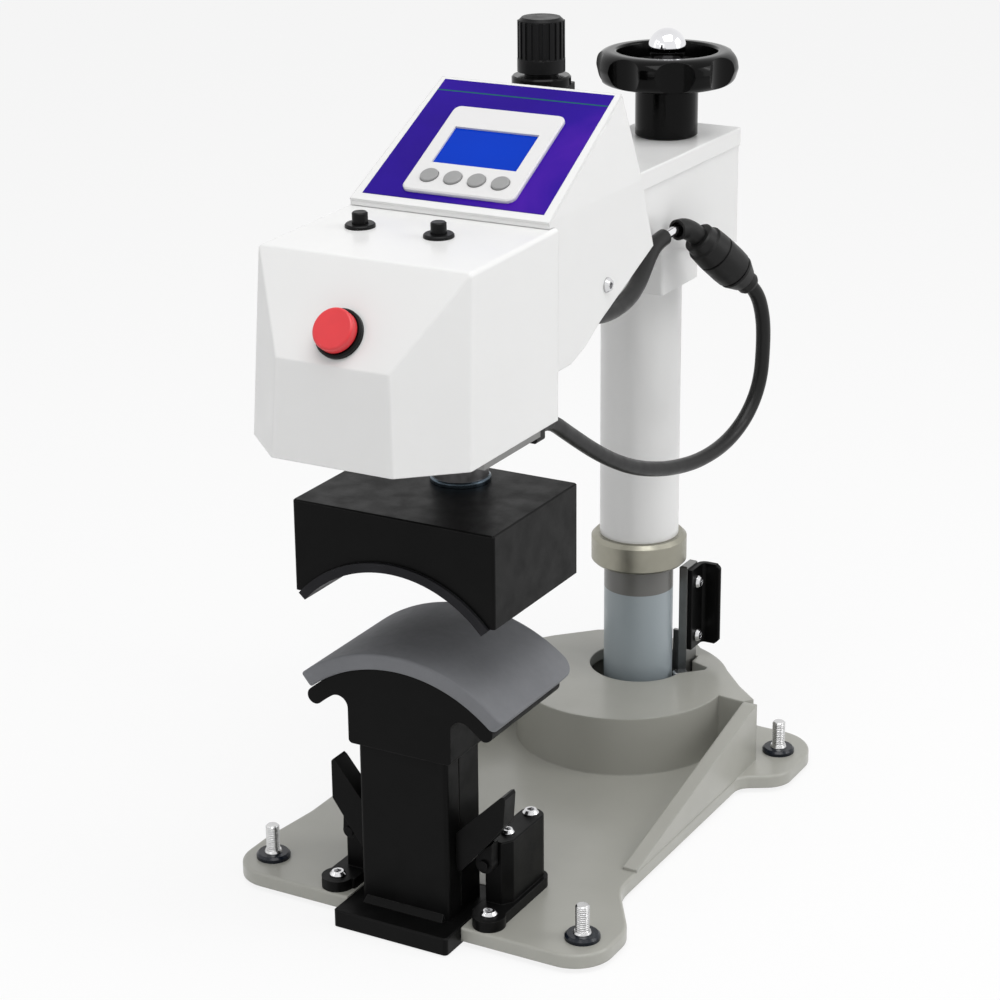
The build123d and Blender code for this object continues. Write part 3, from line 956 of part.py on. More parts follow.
elbow_points = [tuple(plug_end), tuple(plug_end + end_dir * 6.0), (51.0, -34.0, 427.0), (49.0, -42.0, 427.2)]
elbow, elbow_path = smooth_cable("plug_elbow", elbow_points, ELBOW_R)
tail = elbow_path @ 1
tail_dir = (elbow_path % 1).normalized()
elbow -= Plane(origin=tail - tail_dir * 5.0, z_dir=tail_dir) * Pos(0, 0, 10) * Cylinder(ELBOW_R - 1.8, 20)
add("plug_elbow", elbow)
stub_points = [tuple(tail - tail_dir * 5.0), tuple(tail + tail_dir * 4.0), (46.8, -59.5, 425.6)]
stub, stub_path = smooth_cable("hose_stub", stub_points, STUB_TUBE_R)
add("hose_stub", stub)
stub_end = stub_path @ 1
stub_dir = (stub_path % 1).normalized()
hose_points = [tuple(stub_end), tuple(stub_end + stub_dir * 12.0), (47.5, -88.0, 416.0), (50.0, -101.5, 409.0), (53.0, -117.0, 403.0),
               (55.5, -137.0, 399.0), (57.0, -160.0, 398.0), (57.5, -185.0, 400.5), (58.0, -206.0, 407.0), (58.0, -216.0, 411.8)]
hose, hose_path = smooth_cable("panel_hose", hose_points, HOSE_R)
add("panel_hose", hose)
hose_mouth = Plane(origin=hose_path @ 1, z_dir=(hose_path % 1))
pieces["hood"] = Compound(children=(hood - hose_mouth * Cylinder(HOSE_R + SLIP, 60)).solids())
for label, spot in (("plug", plug_end), ("stub", stub_end), ("hose end", hose_path @ 1)):
    print(label, [round(v, 1) for v in spot])

for name, piece in pieces.items():
    piece.label = name
os.makedirs("parts", exist_ok=True)
for name, piece in pieces.items():
    moved = Pos(0, FRAME_Y, 0) * piece
    moved.label = name
    export_step(moved, f"parts/{name}.step")
print(len(pieces), "pieces, frame shift", round(FRAME_Y, 3))
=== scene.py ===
import bpy
import bmesh
import math
from mathutils import Matrix, Vector


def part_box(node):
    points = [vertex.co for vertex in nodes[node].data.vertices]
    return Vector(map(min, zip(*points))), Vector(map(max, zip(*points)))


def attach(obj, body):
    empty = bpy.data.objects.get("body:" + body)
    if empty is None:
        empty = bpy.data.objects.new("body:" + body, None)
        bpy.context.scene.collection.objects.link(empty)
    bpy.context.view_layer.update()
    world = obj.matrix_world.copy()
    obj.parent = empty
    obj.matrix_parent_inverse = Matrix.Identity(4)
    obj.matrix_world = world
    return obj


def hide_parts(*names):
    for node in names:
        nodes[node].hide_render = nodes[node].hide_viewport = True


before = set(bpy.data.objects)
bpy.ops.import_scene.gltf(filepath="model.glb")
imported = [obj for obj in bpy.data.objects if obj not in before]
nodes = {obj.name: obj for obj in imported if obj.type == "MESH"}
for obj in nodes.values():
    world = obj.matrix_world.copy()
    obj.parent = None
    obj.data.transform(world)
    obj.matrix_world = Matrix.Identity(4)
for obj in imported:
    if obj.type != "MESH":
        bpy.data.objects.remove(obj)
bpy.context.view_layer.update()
MM = 1000.0  # in a metre


def column_y():
    """How far the column's axis stands behind the frame's origin."""
    low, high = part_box("post")
    return round((low.y + high.y) / 2, 5)


COLUMN_Y = column_y()


def at_mm(x, y, z):
    """A place given in mm from the column's axis and the floor, in metres in the shared frame."""
    return (x / MM, y / MM + COLUMN_Y, z / MM)


def add_object(name, data):
    """An object at the origin, in the scene."""
    ob = bpy.data.objects.new(name, data)
    bpy.context.scene.collection.objects.link(ob)
    return ob


# ---------------------------------------------------------------- camera
LENS_MM = 95.1
SENSOR_MM = 36.0
EYE = (844.5, -1727.3, 900.1)  # mm, in front of the press, to its right and above it
EYE_TURN = 29.27  # degrees, to the left of straight ahead
EYE_TILT = 69.93  # degrees, up from straight down
EYE_ROLL = -0.577  # degrees


def turned(axis, degrees):
    return Matrix.Rotation(math.radians(degrees), 4, axis)


def view_camera():
    data = bpy.data.cameras.new("view_camera")
    data.lens = LENS_MM
    data.sensor_width = SENSOR_MM
    camera = add_object("view_camera", data)
    aim = turned("Z", EYE_TURN) @ turned("X", EYE_TILT) @ turned("Z", EYE_ROLL)
    camera.matrix_world = Matrix.Translation(at_mm(*EYE)) @ aim
    bpy.context.scene.camera = camera


view_camera()
bpy.context.scene.view_settings.view_transform = "Standard"

# ---------------------------------------------------------------- white studio
BACKDROP_STRENGTH = 1.0  # as the eye, mirrors and glass see it
FILL_STRENGTH = 0.41  # as it lights the press


def larger(tree, a, b):
    node = tree.nodes.new("ShaderNodeMath")
    node.operation = "MAXIMUM"
    tree.links.new(a, node.inputs[0])
    tree.links.new(b, node.inputs[1])
    return node.outputs[0]


def looked_at(tree):
    """1 for a ray from the eye, a mirror or glass, 0 for one that only carries light."""
    path = tree.nodes.new("ShaderNodeLightPath")
    mirror = larger(tree, path.outputs["Is Glossy Ray"], path.outputs["Is Transmission Ray"])
    return larger(tree, path.outputs["Is Camera Ray"], mirror)


def studio_world():
    """A white backdrop that lights the press less than it shows."""
    world = bpy.data.worlds.new("studio")
    bpy.context.scene.world = world
    world.use_nodes = True
    tree = world.node_tree
    tree.nodes.clear()
    out = tree.nodes.new("ShaderNodeOutputWorld")
    choice = tree.nodes.new("ShaderNodeMixShader")
    tree.links.new(looked_at(tree), choice.inputs[0])
    for slot, strength in ((1, FILL_STRENGTH), (2, BACKDROP_STRENGTH)):
        backdrop = tree.nodes.new("ShaderNodeBackground")
        backdrop.inputs["Color"].default_value = (1, 1, 1, 1)
        backdrop.inputs["Strength"].default_value = strength
        tree.links.new(backdrop.outputs[0], choice.inputs[slot])
    tree.links.new(choice.outputs[0], out.inputs["Surface"])


def softbox(name, place, aim_z, width, height, power):
    """A rectangular lamp, in metres and watts, aimed at a height on the frame's axis."""
    lamp = bpy.data.lights.new(name, "AREA")
    lamp.shape = "RECTANGLE"
    lamp.size = width
    lamp.size_y = height
    lamp.energy = power
    ob = add_object(name, lamp)
    ob.location = place
    ob.rotation_euler = (Vector((0, 0, aim_z)) - Vector(place)).to_track_quat("-Z", "Y").to_euler()


studio_world()
softbox("key_top", (0.5, -0.6, 2.3), 0.3, 1.8, 1.4, 29)
softbox("side_right", (2.3, 0.5, 1.2), 0.35, 1.1, 1.9, 6)
softbox("back_right", (2.1, 0.9, 1.6), 0.3, 1.2, 1.2, 9)
softbox("side_left", (-2.2, -1.2, 1.2), 0.3, 0.8, 1.8, 1.8)
softbox("front_fill", (-0.5, -3.0, 1.3), 0.3, 1.6, 1.2, 4.5)
softbox("edge_light_right", (2.0, 0.5, 1.5), 0.35, 0.10, 0.9, 2.0)
softbox("edge_light_left", (-1.5, -1.9, 1.7), 0.3, 0.10, 0.8, 1.6)

# ---------------------------------------------------------------- finishes
NOISE_LOW = 0.3  # most of a noise pattern lies between these two
NOISE_HIGH = 0.7
FLAT_COSINE = 0.985  # between a face's own direction and its softened one, on a flat
CORNER_COSINE = 0.80  # and on a sharp corner
EDGE_SAMPLES = 5
# samples for the painted shade where parts meet
MEETING_SHADE_SAMPLES = 6


class Finish:
    """A procedural material on the object's own coordinates, with its corners softened by a small radius."""

    def __init__(self, name, edge=0.0005):
        self.mat = bpy.data.materials.new(name)
        self.mat.use_nodes = True
        self.tree = self.mat.node_tree
        self.tree.nodes.clear()
        self.out = self.node("ShaderNodeOutputMaterial")
        self.bsdf = self.node("ShaderNodeBsdfPrincipled")
        self.link(self.bsdf.outputs[0], self.out.inputs[0])
        self.coords = self.node("ShaderNodeTexCoord").outputs["Object"]
        self.soft = None
        if edge:
            bevel = self.node("ShaderNodeBevel", Radius=edge)
            bevel.samples = EDGE_SAMPLES
            self.soft = bevel.outputs[0]
            self.link(self.soft, self.bsdf.inputs["Normal"])

    def node(self, kind, **values):
        """A new node, with its sockets set by name: an underscore stands for a space."""
        node = self.tree.nodes.new(kind)
        for key, value in values.items():
            node.inputs[key.replace("_", " ")].default_value = value
        return node

    def link(self, a, b):
        self.tree.links.new(a, b)

    def set(self, **values):
        for key, value in values.items():
            self.bsdf.inputs[key.replace("_", " ")].default_value = value

    def feed(self, **sources):
        """Links patterns into the surface's sockets."""
        for key, source in sources.items():
            self.link(source, self.bsdf.inputs[key.replace("_", " ")])

    def noise(self, scale, detail=4.0, rough=0.55, stretch=None, distortion=0.0):
        source = self.coords
        if stretch:
            mapping = self.node("ShaderNodeMapping", Scale=stretch)
            self.link(self.coords, mapping.inputs["Vector"])
            source = mapping.outputs[0]
        pattern = self.node("ShaderNodeTexNoise", Scale=scale, Detail=detail, Roughness=rough,
                            Distortion=distortion)
        self.link(source, pattern.inputs["Vector"])
        return pattern.outputs["Fac"]

    def map(self, value, from_low, from_high, low, high):
        node = self.node("ShaderNodeMapRange", From_Min=from_low, From_Max=from_high, To_Min=low, To_Max=high)
        self.link(value, node.inputs["Value"])
        return node.outputs[0]

    def span(self, pattern, low, high):
        """A noise pattern spread from low to high."""
        return self.map(pattern, NOISE_LOW, NOISE_HIGH, low, high)

    def ramp(self, pattern, stops):
        node = self.tree.nodes.new("ShaderNodeValToRGB")
        elements = node.color_ramp.elements
        while len(elements) > 1:
            elements.remove(elements[-1])
        elements[0].position = stops[0][0]
        elements[0].color = (*stops[0][1], 1)
        for position, colour in stops[1:]:
            elements.new(position).color = (*colour, 1)
        self.link(pattern, node.inputs[0])
        return node.outputs[0]

    def two_tone(self, pattern, darker, lighter):
        return self.ramp(pattern, [(NOISE_LOW, darker), (NOISE_HIGH, lighter)])

    def bump(self, pattern, distance, strength):
        node = self.node("ShaderNodeBump", Strength=strength, Distance=distance)
        self.link(pattern, node.inputs["Height"])
        if self.soft is not None:
            self.link(self.soft, node.inputs["Normal"])
        self.feed(Normal=node.outputs[0])

    def axis(self, name):
        split = self.tree.nodes.new("ShaderNodeSeparateXYZ")
        self.link(self.coords, split.inputs[0])
        return split.outputs[name]

    def math(self, operation, *values):
        node = self.tree.nodes.new("ShaderNodeMath")
        node.operation = operation
        for slot, value in zip(node.inputs, values):
            if isinstance(value, (int, float)):
                slot.default_value = value
            else:
                self.link(value, slot)
        return node.outputs[0]

    def mix(self, share, below, above):
        """One colour over another, by a share."""
        node = self.tree.nodes.new("ShaderNodeMix")
        node.data_type = "RGBA"
        self.link(share, node.inputs[0])
        for slot, colour in ((node.inputs[6], below), (node.inputs[7], above)):
            if isinstance(colour, tuple):
                slot.default_value = (*colour, 1)
            else:
                self.link(colour, slot)
        return node.outputs[2]

    def edge_wear_and_highlight(self, patchy):
        """How far a point is towards an edge painted lighter, partly as rubbing wear and partly as a painted
        highlight: 0 on a flat, 1 on the corner itself.
        """
        dot = self.tree.nodes.new("ShaderNodeVectorMath")
        dot.operation = "DOT_PRODUCT"
        self.link(self.soft, dot.inputs[0])
        self.link(self.tree.nodes.new("ShaderNodeNewGeometry").outputs["Normal"], dot.inputs[1])
        corner = self.map(dot.outputs["Value"], FLAT_COSINE, CORNER_COSINE, 0.0, 1.0)
        return self.math("MULTIPLY", corner, self.span(self.noise(160, 4, 0.6), 1.0 - patchy, 1.0))


def shade(base, amount):
    return tuple(channel * amount for channel in base)


def enamel(name, base, peel=0.00003, peel_scale=420, tone=0.03, coat=0.2, edge=0.0006, pale_edge_and_highlight=0.0):
    """Sprayed enamel: orange peel, slow tone change, patches of duller gloss, and edges that can be painted
    paler, partly as thinner colour and partly as a painted highlight.
    """
    rough = 0.37
    m = Finish(name, edge)
    colour = m.two_tone(m.noise(9, 3), shade(base, 1 - tone), shade(base, 1 + tone))
    # edges painted paler: thinner enamel and a painted highlight
    if pale_edge_and_highlight:
        colour = m.mix(m.math("MULTIPLY", m.edge_wear_and_highlight(0.6), pale_edge_and_highlight), colour, shade(base, 1.5))
    m.feed(Base_Color=colour, Roughness=m.span(m.noise(45, 5), rough * 0.85, rough * 1.2))
    m.bump(m.noise(peel_scale, 2, 0.5), peel, 0.3)
    m.set(Coat_Weight=coat, Coat_Roughness=0.14, Specular_IOR_Level=0.5)
    return m


BLACK = (0.0028, 0.0028, 0.0028)
# grey painted on the edges of black parts, partly handling wear and partly a painted highlight
EDGE_WEAR_AND_HIGHLIGHT_GREY = (0.085, 0.085, 0.083)


def powder_coat(name, base=BLACK, rough=0.37, grain=0.00005, scale=2200, edge_wear_and_highlight_share=0.5):
    """Black powder coat: a fine pebbled grain, greyer rubbed patches, and edges painted to a grey line,
    partly handling wear and partly a painted highlight.
    """
    m = Finish(name, edge=0.0007)
    patches = m.ramp(m.noise(30, 6, 0.6), [(0.40, base), (0.66, shade(base, 1.35)), (0.80, shade(base, 1.9))])
    # edges painted grey: handling wear and a painted edge highlight
    m.feed(Base_Color=m.mix(m.math("MULTIPLY", m.edge_wear_and_highlight(0.7), edge_wear_and_highlight_share), patches, EDGE_WEAR_AND_HIGHLIGHT_GREY),
           Roughness=m.span(m.noise(70, 5), rough * 0.8, rough * 1.25))
    m.bump(m.noise(scale, 3, 0.65), grain, 0.4)
    m.set(Specular_IOR_Level=0.08)
    return m


LATHE_MARKS = (60, 60, 2600)
BRUSH_MARKS = (40, 1800, 40)
NO_MARKS = (60, 60, 60)


def bare_metal(name, base, rough, marks=NO_MARKS, fine=0.00002, edge=0.0004, blotchy=0.08, meeting_shade=0.0):
    """Bare or plated metal with lathe or brush marks, and painted shade where parts meet."""
    m = Finish(name, edge)
    colour = m.two_tone(m.noise(60, 4, 0.6), shade(base, 1 - blotchy), shade(base, 1 + blotchy * 0.5))
    if meeting_shade:
        # painted shade: colour darkened nearly to black where other parts come close
        corner = m.node("ShaderNodeAmbientOcclusion", Distance=meeting_shade)
        corner.samples = MEETING_SHADE_SAMPLES
        colour = m.mix(m.span(corner.outputs["AO"], 1.0, 0.0), colour, shade(base, 0.04))
    m.feed(Base_Color=colour, Roughness=m.span(m.noise(240, 4), rough * 0.8, rough * 1.2))
    m.bump(m.noise(1.0, 3, 0.7, stretch=marks), fine, 0.35)
    m.set(Metallic=1.0)
    return m


def moulding(name, base, rough=0.36, grain=0.00005, scale=1800, coat=0.0, tone=0.06, gloss=0.5, edge=0.0004):
    """Moulded plastic or rubber with a fine spark grain."""
    m = Finish(name, edge)
    m.feed(Base_Color=m.two_tone(m.noise(35, 4), shade(base, 1 - tone), shade(base, 1 + tone)),
           Roughness=m.span(m.noise(110, 4), rough * 0.85, rough * 1.2))
    m.bump(m.noise(scale, 3, 0.6), grain, 0.35)
    m.set(Coat_Weight=coat, Coat_Roughness=0.06, Specular_IOR_Level=gloss)
    return m


white = enamel("white_enamel", (0.80, 0.80, 0.795), peel=0.00002, peel_scale=500, tone=0.010, edge=0.0009)
# the casting's edges painted paler, as thinner enamel and as a painted highlight
casting = enamel("grey_casting_enamel", (0.375, 0.373, 0.337), peel=0.00010, peel_scale=260, tone=0.045,
                 coat=0.25, edge=0.0020, pale_edge_and_highlight=0.35)
black_steel = powder_coat("black_satin_coat")
black_cast = powder_coat("black_cast_coat", rough=0.40, grain=0.00016, scale=800)
heater = powder_coat("heater_pebble_coat", rough=0.38, grain=0.00014, scale=1300, edge_wear_and_highlight_share=0.8)
shoe = powder_coat("shoe_release_coat", base=(0.016, 0.016, 0.018), rough=0.42, scale=2400)
gloss_black = moulding("gloss_black_moulding", (0.0015, 0.0015, 0.0015), rough=0.12, grain=0.00001, scale=500,
                       gloss=0.12, edge=0.0007)
disc_black = moulding("foot_disc_moulding", (0.006, 0.009, 0.015), rough=0.22, grain=0.00003, gloss=0.3)
soft_black = moulding("soft_black_plastic", (0.0040, 0.0040, 0.0044), grain=0.00006, scale=2600, gloss=0.14)
plug_black = moulding("plug_rubber", (0.008, 0.008, 0.008), rough=0.42, grain=0.00006, scale=2200, gloss=0.22)
cable_jacket = moulding("cable_jacket", (0.005, 0.005, 0.005), rough=0.37, grain=0.00004, scale=1500,
                        gloss=0.26, edge=0.0)
foot_rubber = moulding("pad_rubber", (0.02, 0.02, 0.02), rough=0.75, grain=0.0001)
zinc = bare_metal("zinc_plate", (0.31, 0.30, 0.25), 0.38, LATHE_MARKS, blotchy=0.05, edge=0.0008)
zinc_thread = bare_metal("zinc_stud", (0.62, 0.62, 0.62), 0.24)
# screw heads darkened with painted shade where they meet other parts
screw_zinc = bare_metal("zinc_button_head", (0.66, 0.66, 0.67), 0.18, fine=0.000008, meeting_shade=0.0022)
chrome = bare_metal("bright_chrome", (0.80, 0.80, 0.82), 0.06, fine=0.000004)
ground_rod = bare_metal("ground_rod", (0.24, 0.235, 0.24), 0.37, LATHE_MARKS, fine=0.000006)
blued = bare_metal("blued_ring", (0.10, 0.13, 0.16), 0.20, LATHE_MARKS, fine=0.000006, edge=0.0012)
steel = bare_metal("dull_steel", (0.24, 0.24, 0.235), 0.40, BRUSH_MARKS)
bronze = bare_metal("sintered_bronze", (0.58, 0.42, 0.20), 0.35)
button_red = moulding("red_button_plastic", (0.70, 0.026, 0.035), grain=0.00003, coat=0.15, edge=0.0012)
bezel_white = moulding("pale_bezel_plastic", (0.74, 0.735, 0.735), grain=0.00003, scale=2400, tone=0.012,
                       gloss=0.35, edge=0.0008)
key_grey = moulding("grey_key_plastic", (0.30, 0.30, 0.30), grain=0.00002, edge=0.0009)

BARE_BAND_Z = 0.1278  # the post is bare from here up to its collar
BARE_STEEL = (0.145, 0.143, 0.135)


def post_enamel():
    """Blue-grey enamel with a bare, duller band under the collar."""
    m = enamel("post_enamel", (0.330, 0.378, 0.405), tone=0.04)
    painted = m.bsdf.inputs["Base Color"].links[0].from_socket
    m.feed(Base_Color=m.mix(m.math("GREATER_THAN", m.axis("Z"), BARE_BAND_Z), painted, BARE_STEEL))
    return m


PANEL_SLOPE = math.radians(28.5)
PANEL_FOOT = at_mm(0.0, -286.5, 490.0)
GREEN_LINE = (0.1145, 0.1155)  # its lower and upper edge, in metres up the panel
LINE_GREEN = (0.006, 0.13, 0.075)
DISPLAY_MID = 0.058  # metres up the panel


def panel_place(m):
    """Coordinates on the sloping panel: across it and up it, in metres from its foot."""
    back = m.math("SUBTRACT", m.axis("Y"), PANEL_FOOT[1])
    rise = m.math("SUBTRACT", m.axis("Z"), PANEL_FOOT[2])
    back_share = m.math("MULTIPLY", back, math.cos(PANEL_SLOPE))
    rise_share = m.math("MULTIPLY", rise, math.sin(PANEL_SLOPE))
    return m.axis("X"), m.math("ADD", back_share, rise_share)


def violet_film():
    """The panel's print: cloudy violet that brightens in slanting bands, a painted highlight, with a green
    line near its top.
    """
    m = Finish("violet_film")
    across, up = panel_place(m)
    # slanting bands of brighter violet: a painted highlight across the print
    slant = m.math("ADD", m.math("MULTIPLY", across, 9.0), m.math("MULTIPLY", up, -5.0))
    highlight_bands = m.math("SINE", m.math("ADD", m.math("MULTIPLY", slant, 3.2), 0.6))
    clouds = m.noise(14, 4, 0.55, distortion=0.8)
    level = m.math("ADD", m.math("MULTIPLY", highlight_bands, 0.22), m.math("MULTIPLY", clouds, 0.9))
    violet = m.ramp(level, [(0.22, (0.018, 0.001, 0.235)), (0.50, (0.022, 0.002, 0.275)),
                            (0.80, (0.055, 0.006, 0.330))])
    low, high = GREEN_LINE
    line = m.math("MULTIPLY", m.math("GREATER_THAN", up, low), m.math("LESS_THAN", up, high))
    m.feed(Base_Color=m.mix(line, violet, LINE_GREEN), Roughness=m.span(m.noise(90, 4), 0.32, 0.40))
    m.bump(m.noise(2600, 2), 0.00003, 0.3)
    m.set(Specular_IOR_Level=0.08)
    return m


def blue_display():
    """A lit blue window, darker towards its edges."""
    m = Finish("blue_display")
    across, up = panel_place(m)
    aside = m.math("MULTIPLY", m.math("ABSOLUTE", across), 9.0)
    off = m.math("MULTIPLY", m.math("ABSOLUTE", m.math("SUBTRACT", up, DISPLAY_MID)), 12.0)
    fall = m.math("ADD", aside, off)
    lit = m.ramp(fall, [(0.0, (0.0, 0.032, 0.40)), (0.45, (0.0, 0.030, 0.38)), (0.62, (0.0, 0.024, 0.31))])
    m.feed(Base_Color=lit, Emission_Color=lit, Roughness=m.span(m.noise(60, 3), 0.10, 0.16))
    m.bump(m.noise(3000, 2), 0.00001, 0.2)
    m.set(Emission_Strength=0.30, Specular_IOR_Level=0.05)
    return m


def silicone_sheet():
    """A matt, slightly mottled sheet with a fine sponge grain."""
    m = Finish("silicone_sheet")
    m.feed(Base_Color=m.two_tone(m.noise(26, 5), (0.158, 0.162, 0.173), (0.186, 0.191, 0.203)),
           Roughness=m.span(m.noise(200, 4), 0.62, 0.78))
    m.bump(m.noise(1500, 3, 0.7), 0.00012, 0.5)
    m.set(Specular_IOR_Level=0.35)
    return m


silicone = silicone_sheet()
finishes = {
    casting: ["base_casting"],
    foot_rubber: ["rubber_feet"],
    disc_black: ["foot_discs"],
    zinc_thread: ["levelling_studs"],
    post_enamel(): ["post"],
    steel: ["post_flange", "stop_bar", "nose_underplate", "air_cylinder"],
    black_steel: ["stop_bracket", "platen_guides", "latch_pins", "latch_lever_right", "latch_lever_left",
                  "platen_foot", "platen_pillar"],
    black_cast: ["platen_saddle"],
    screw_zinc: ["stop_fasteners", "platen_guide_screws", "hood_screws"],
    silicone: ["silicone_pad"],
    zinc: ["collar", "lift_screw"],
    white: ["sleeve_tube", "clamp_block", "arm", "arm_lid", "nose_housing", "hood", "control_panel"],
    bronze: ["sleeve_bearings", "air_inlet_fitting"],
    soft_black: ["power_inlet_module", "power_rocker", "regulator_body", "regulator_knob", "button_collars",
                 "start_button_left", "start_button_right", "cable_gland"],
    gloss_black: ["regulator_bonnet", "handwheel"],
    chrome: ["handwheel_ball", "hose_stub"],
    violet_film(): ["panel_overlay"],
    bezel_white: ["controller_bezel"],
    blue_display(): ["lcd"],
    key_grey: ["controller_key_1", "controller_key_2", "controller_key_3", "controller_key_4"],
    button_red: ["stop_button_cap"],
    cable_jacket: ["power_cable", "panel_hose"],
    plug_black: ["cable_plug", "plug_elbow"],
    ground_rod: ["piston_rod"],
    blued: ["rod_collar"],
    heater: ["heater_block"],
    shoe: ["heating_shoe"],
}
for finish, names in finishes.items():
    for name in names:
        nodes[name].data.materials.clear()
        nodes[name].data.materials.append(finish.mat)

# ---------------------------------------------------------------- cable and hose
CABLE_D = 0.011
HOSE_D = 0.0124


def round_tube(name, points, radius, steps, taper=None):
    """A tube along given points in mm. A taper gives each point's share of the radius."""
    curve = bpy.data.curves.new(name, "CURVE")
    curve.dimensions = "3D"
    spline = curve.splines.new("NURBS")
    spline.points.add(len(points) - 1)
    for point, place, share in zip(spline.points, points, taper or [1.0] * len(points)):
        point.co = (*at_mm(*place), 1)
        point.radius = share
    spline.order_u = 3
    spline.use_endpoint_u = True
    spline.resolution_u = steps
    curve.bevel_depth = radius
    curve.bevel_resolution = 6
    curve.use_fill_caps = True
    return add_object(name, curve)


def cord(name, points, diameter, node):
    """A cord that hangs between two places on the head."""
    ob = round_tube(name, points, diameter / 2, steps=10)
    ob.data.materials.append(cable_jacket.mat)
    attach(ob, "head")
    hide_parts(node)


def evaluated_mesh(ob):
    return bpy.data.meshes.new_from_object(ob.evaluated_get(bpy.context.evaluated_depsgraph_get()))


cable_points = [
    (62.0, -288.0, 352.8), (62.0, -268.0, 352.8), (62.5, -232.0, 329.0), (63.5, -193.0, 304.3),
    (66.0, -158.0, 285.7), (68.5, -125.0, 272.8), (71.5, -88.0, 263.0), (75.0, -50.0, 258.0),
    (79.0, -13.5, 261.2), (83.5, 13.0, 275.2), (87.0, 27.5, 298.0), (88.6, 27.8, 327.0),
    (88.8, 25.6, 350.0), (86.0, 19.7, 370.3), (82.3, 14.2, 376.4),
]
hose_points = [
    (46.8, -59.5, 425.6), (45.7, -71.4, 424.1), (47.5, -88.0, 416.0), (50.0, -101.5, 409.0),
    (53.0, -117.0, 403.0), (55.5, -137.0, 399.0), (57.0, -160.0, 398.0), (57.5, -185.0, 400.5),
    (58.0, -206.0, 407.0), (58.0, -216.0, 411.8),
]
cord("cable_smooth", cable_points, CABLE_D, "power_cable")
cord("hose_smooth", hose_points, HOSE_D, "panel_hose")

# ---------------------------------------------------------------- silicone pad
PAD_R = 0.118
PAD_T = 0.0115
PAD_HALF_W = 0.0787
PAD_TURN = math.radians(1.5)
PAD_OVERHANG = 0.008  # how far it runs past the solid at the rear
PAD_EDGE_R = 0.0018
PAD_FRONT_CORNER = 0.005
PAD_REAR_CORNER = 0.013
PAD_ACROSS = 72  # steps round the bend
PAD_ALONG = 48  # steps from front to rear
PAD_EDGE_STEPS = 4


def rounded_corner(across, along, half_w, half_l, corner):
    """Draws a point of the sheet's flat outline in where it lies in a corner."""
    past_w = (abs(across) - (half_w - corner)) / corner
    past_l = (abs(along) - (half_l - corner)) / corner
    if past_w > 0 and past_l > 0:
        across = math.copysign(half_w - corner + corner * past_w * math.sqrt(1 - past_l ** 2 / 2), across)
        along = math.copysign(half_l - corner + corner * past_l * math.sqrt(1 - past_w ** 2 / 2), along)
    return across, along


def pad_edge():
    """The sheet's edge in section, from its upper face round to its lower one: (inset, drop) pairs."""
    angles = [math.pi / 2 * i / PAD_EDGE_STEPS for i in range(PAD_EDGE_STEPS + 1)]
    arc = [(math.sin(a), math.cos(a)) for a in angles]
    upper = [(PAD_EDGE_R * (1 - s), -PAD_EDGE_R * (1 - c)) for s, c in arc]
    lower = [(PAD_EDGE_R * (1 - c), -PAD_T + PAD_EDGE_R * (1 - s)) for s, c in arc]
    return upper + [(0.0, -PAD_T / 2)] + lower


def pad_border():
    """The grid's outer points in order, as (across, along) steps."""
    front = [(i, 0) for i in range(PAD_ACROSS)]
    right = [(PAD_ACROSS, j) for j in range(PAD_ALONG)]
    rear = [(i, PAD_ALONG) for i in range(PAD_ACROSS, 0, -1)]
    left = [(0, j) for j in range(PAD_ALONG, 0, -1)]
    return front + right + rear + left


def silicone_cushion():
    """The bent sheet, rounded along its edges and at its corners, in the space of its CAD solid."""
    low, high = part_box("silicone_pad")
    axis_z = high.z - PAD_R
    half_w = math.asin(PAD_HALF_W / PAD_R) * PAD_R
    half_l = (high.y + PAD_OVERHANG - low.y) / 2
    mid_y = low.y + half_l
    bm = bmesh.new()

    def vert(i, j, inset, drop):
        """The vertex at a grid step, set in from the outline and down from the upper face."""
        corner = (PAD_FRONT_CORNER if j < PAD_ALONG / 2 else PAD_REAR_CORNER) - inset
        across = (2 * i / PAD_ACROSS - 1) * (half_w - inset)
        along = (2 * j / PAD_ALONG - 1) * (half_l - inset)
        across, along = rounded_corner(across, along, half_w - inset, half_l - inset, corner)
        angle = PAD_TURN + across / PAD_R
        r = PAD_R + drop
        return bm.verts.new((r * math.sin(angle), mid_y + along, axis_z + r * math.cos(angle)))

    border = pad_border()
    section = pad_edge()
    rings = [[vert(i, j, inset, drop) for i, j in border] for inset, drop in section]
    for ring, below in zip(rings, rings[1:]):
        for k in range(len(border)):
            bm.faces.new((ring[k - 1], ring[k], below[k], below[k - 1]))
    for ring, (inset, drop) in ((rings[0], section[0]), (rings[-1], section[-1])):
        grid = dict(zip(border, ring))
        for i in range(1, PAD_ACROSS):
            for j in range(1, PAD_ALONG):
                grid[i, j] = vert(i, j, inset, drop)
        for i in range(PAD_ACROSS):
            for j in range(PAD_ALONG):
                bm.faces.new((grid[i, j], grid[i + 1, j], grid[i + 1, j + 1], grid[i, j + 1]))
    bmesh.ops.recalc_face_normals(bm, faces=bm.faces)
    for face in bm.faces:
        face.smooth = True
    mesh = bpy.data.meshes.new("silicone_cushion")
    bm.to_mesh(mesh)
    bm.free()
    mesh.materials.append(silicone.mat)
    pad = add_object("silicone_cushion", mesh)
    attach(pad, "platen")
    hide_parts("silicone_pad")


silicone_cushion()

# ---------------------------------------------------------------- latch levers, in mm from the column's axis
BAR_FRONT_Y = -350.0
BAR_REAR_Y = -335.2
HEEL_FRONT_Y = -343.5
HEEL_REAR_Y = -335.0
PIN_X = 53.5
PIN_Z = 55.0
HEEL_TURN = range(-200, 21, 20)  # degrees round the pin
LEVER_EDGE_R = 0.0012  # metres
SHARP_ANGLE = math.radians(25)


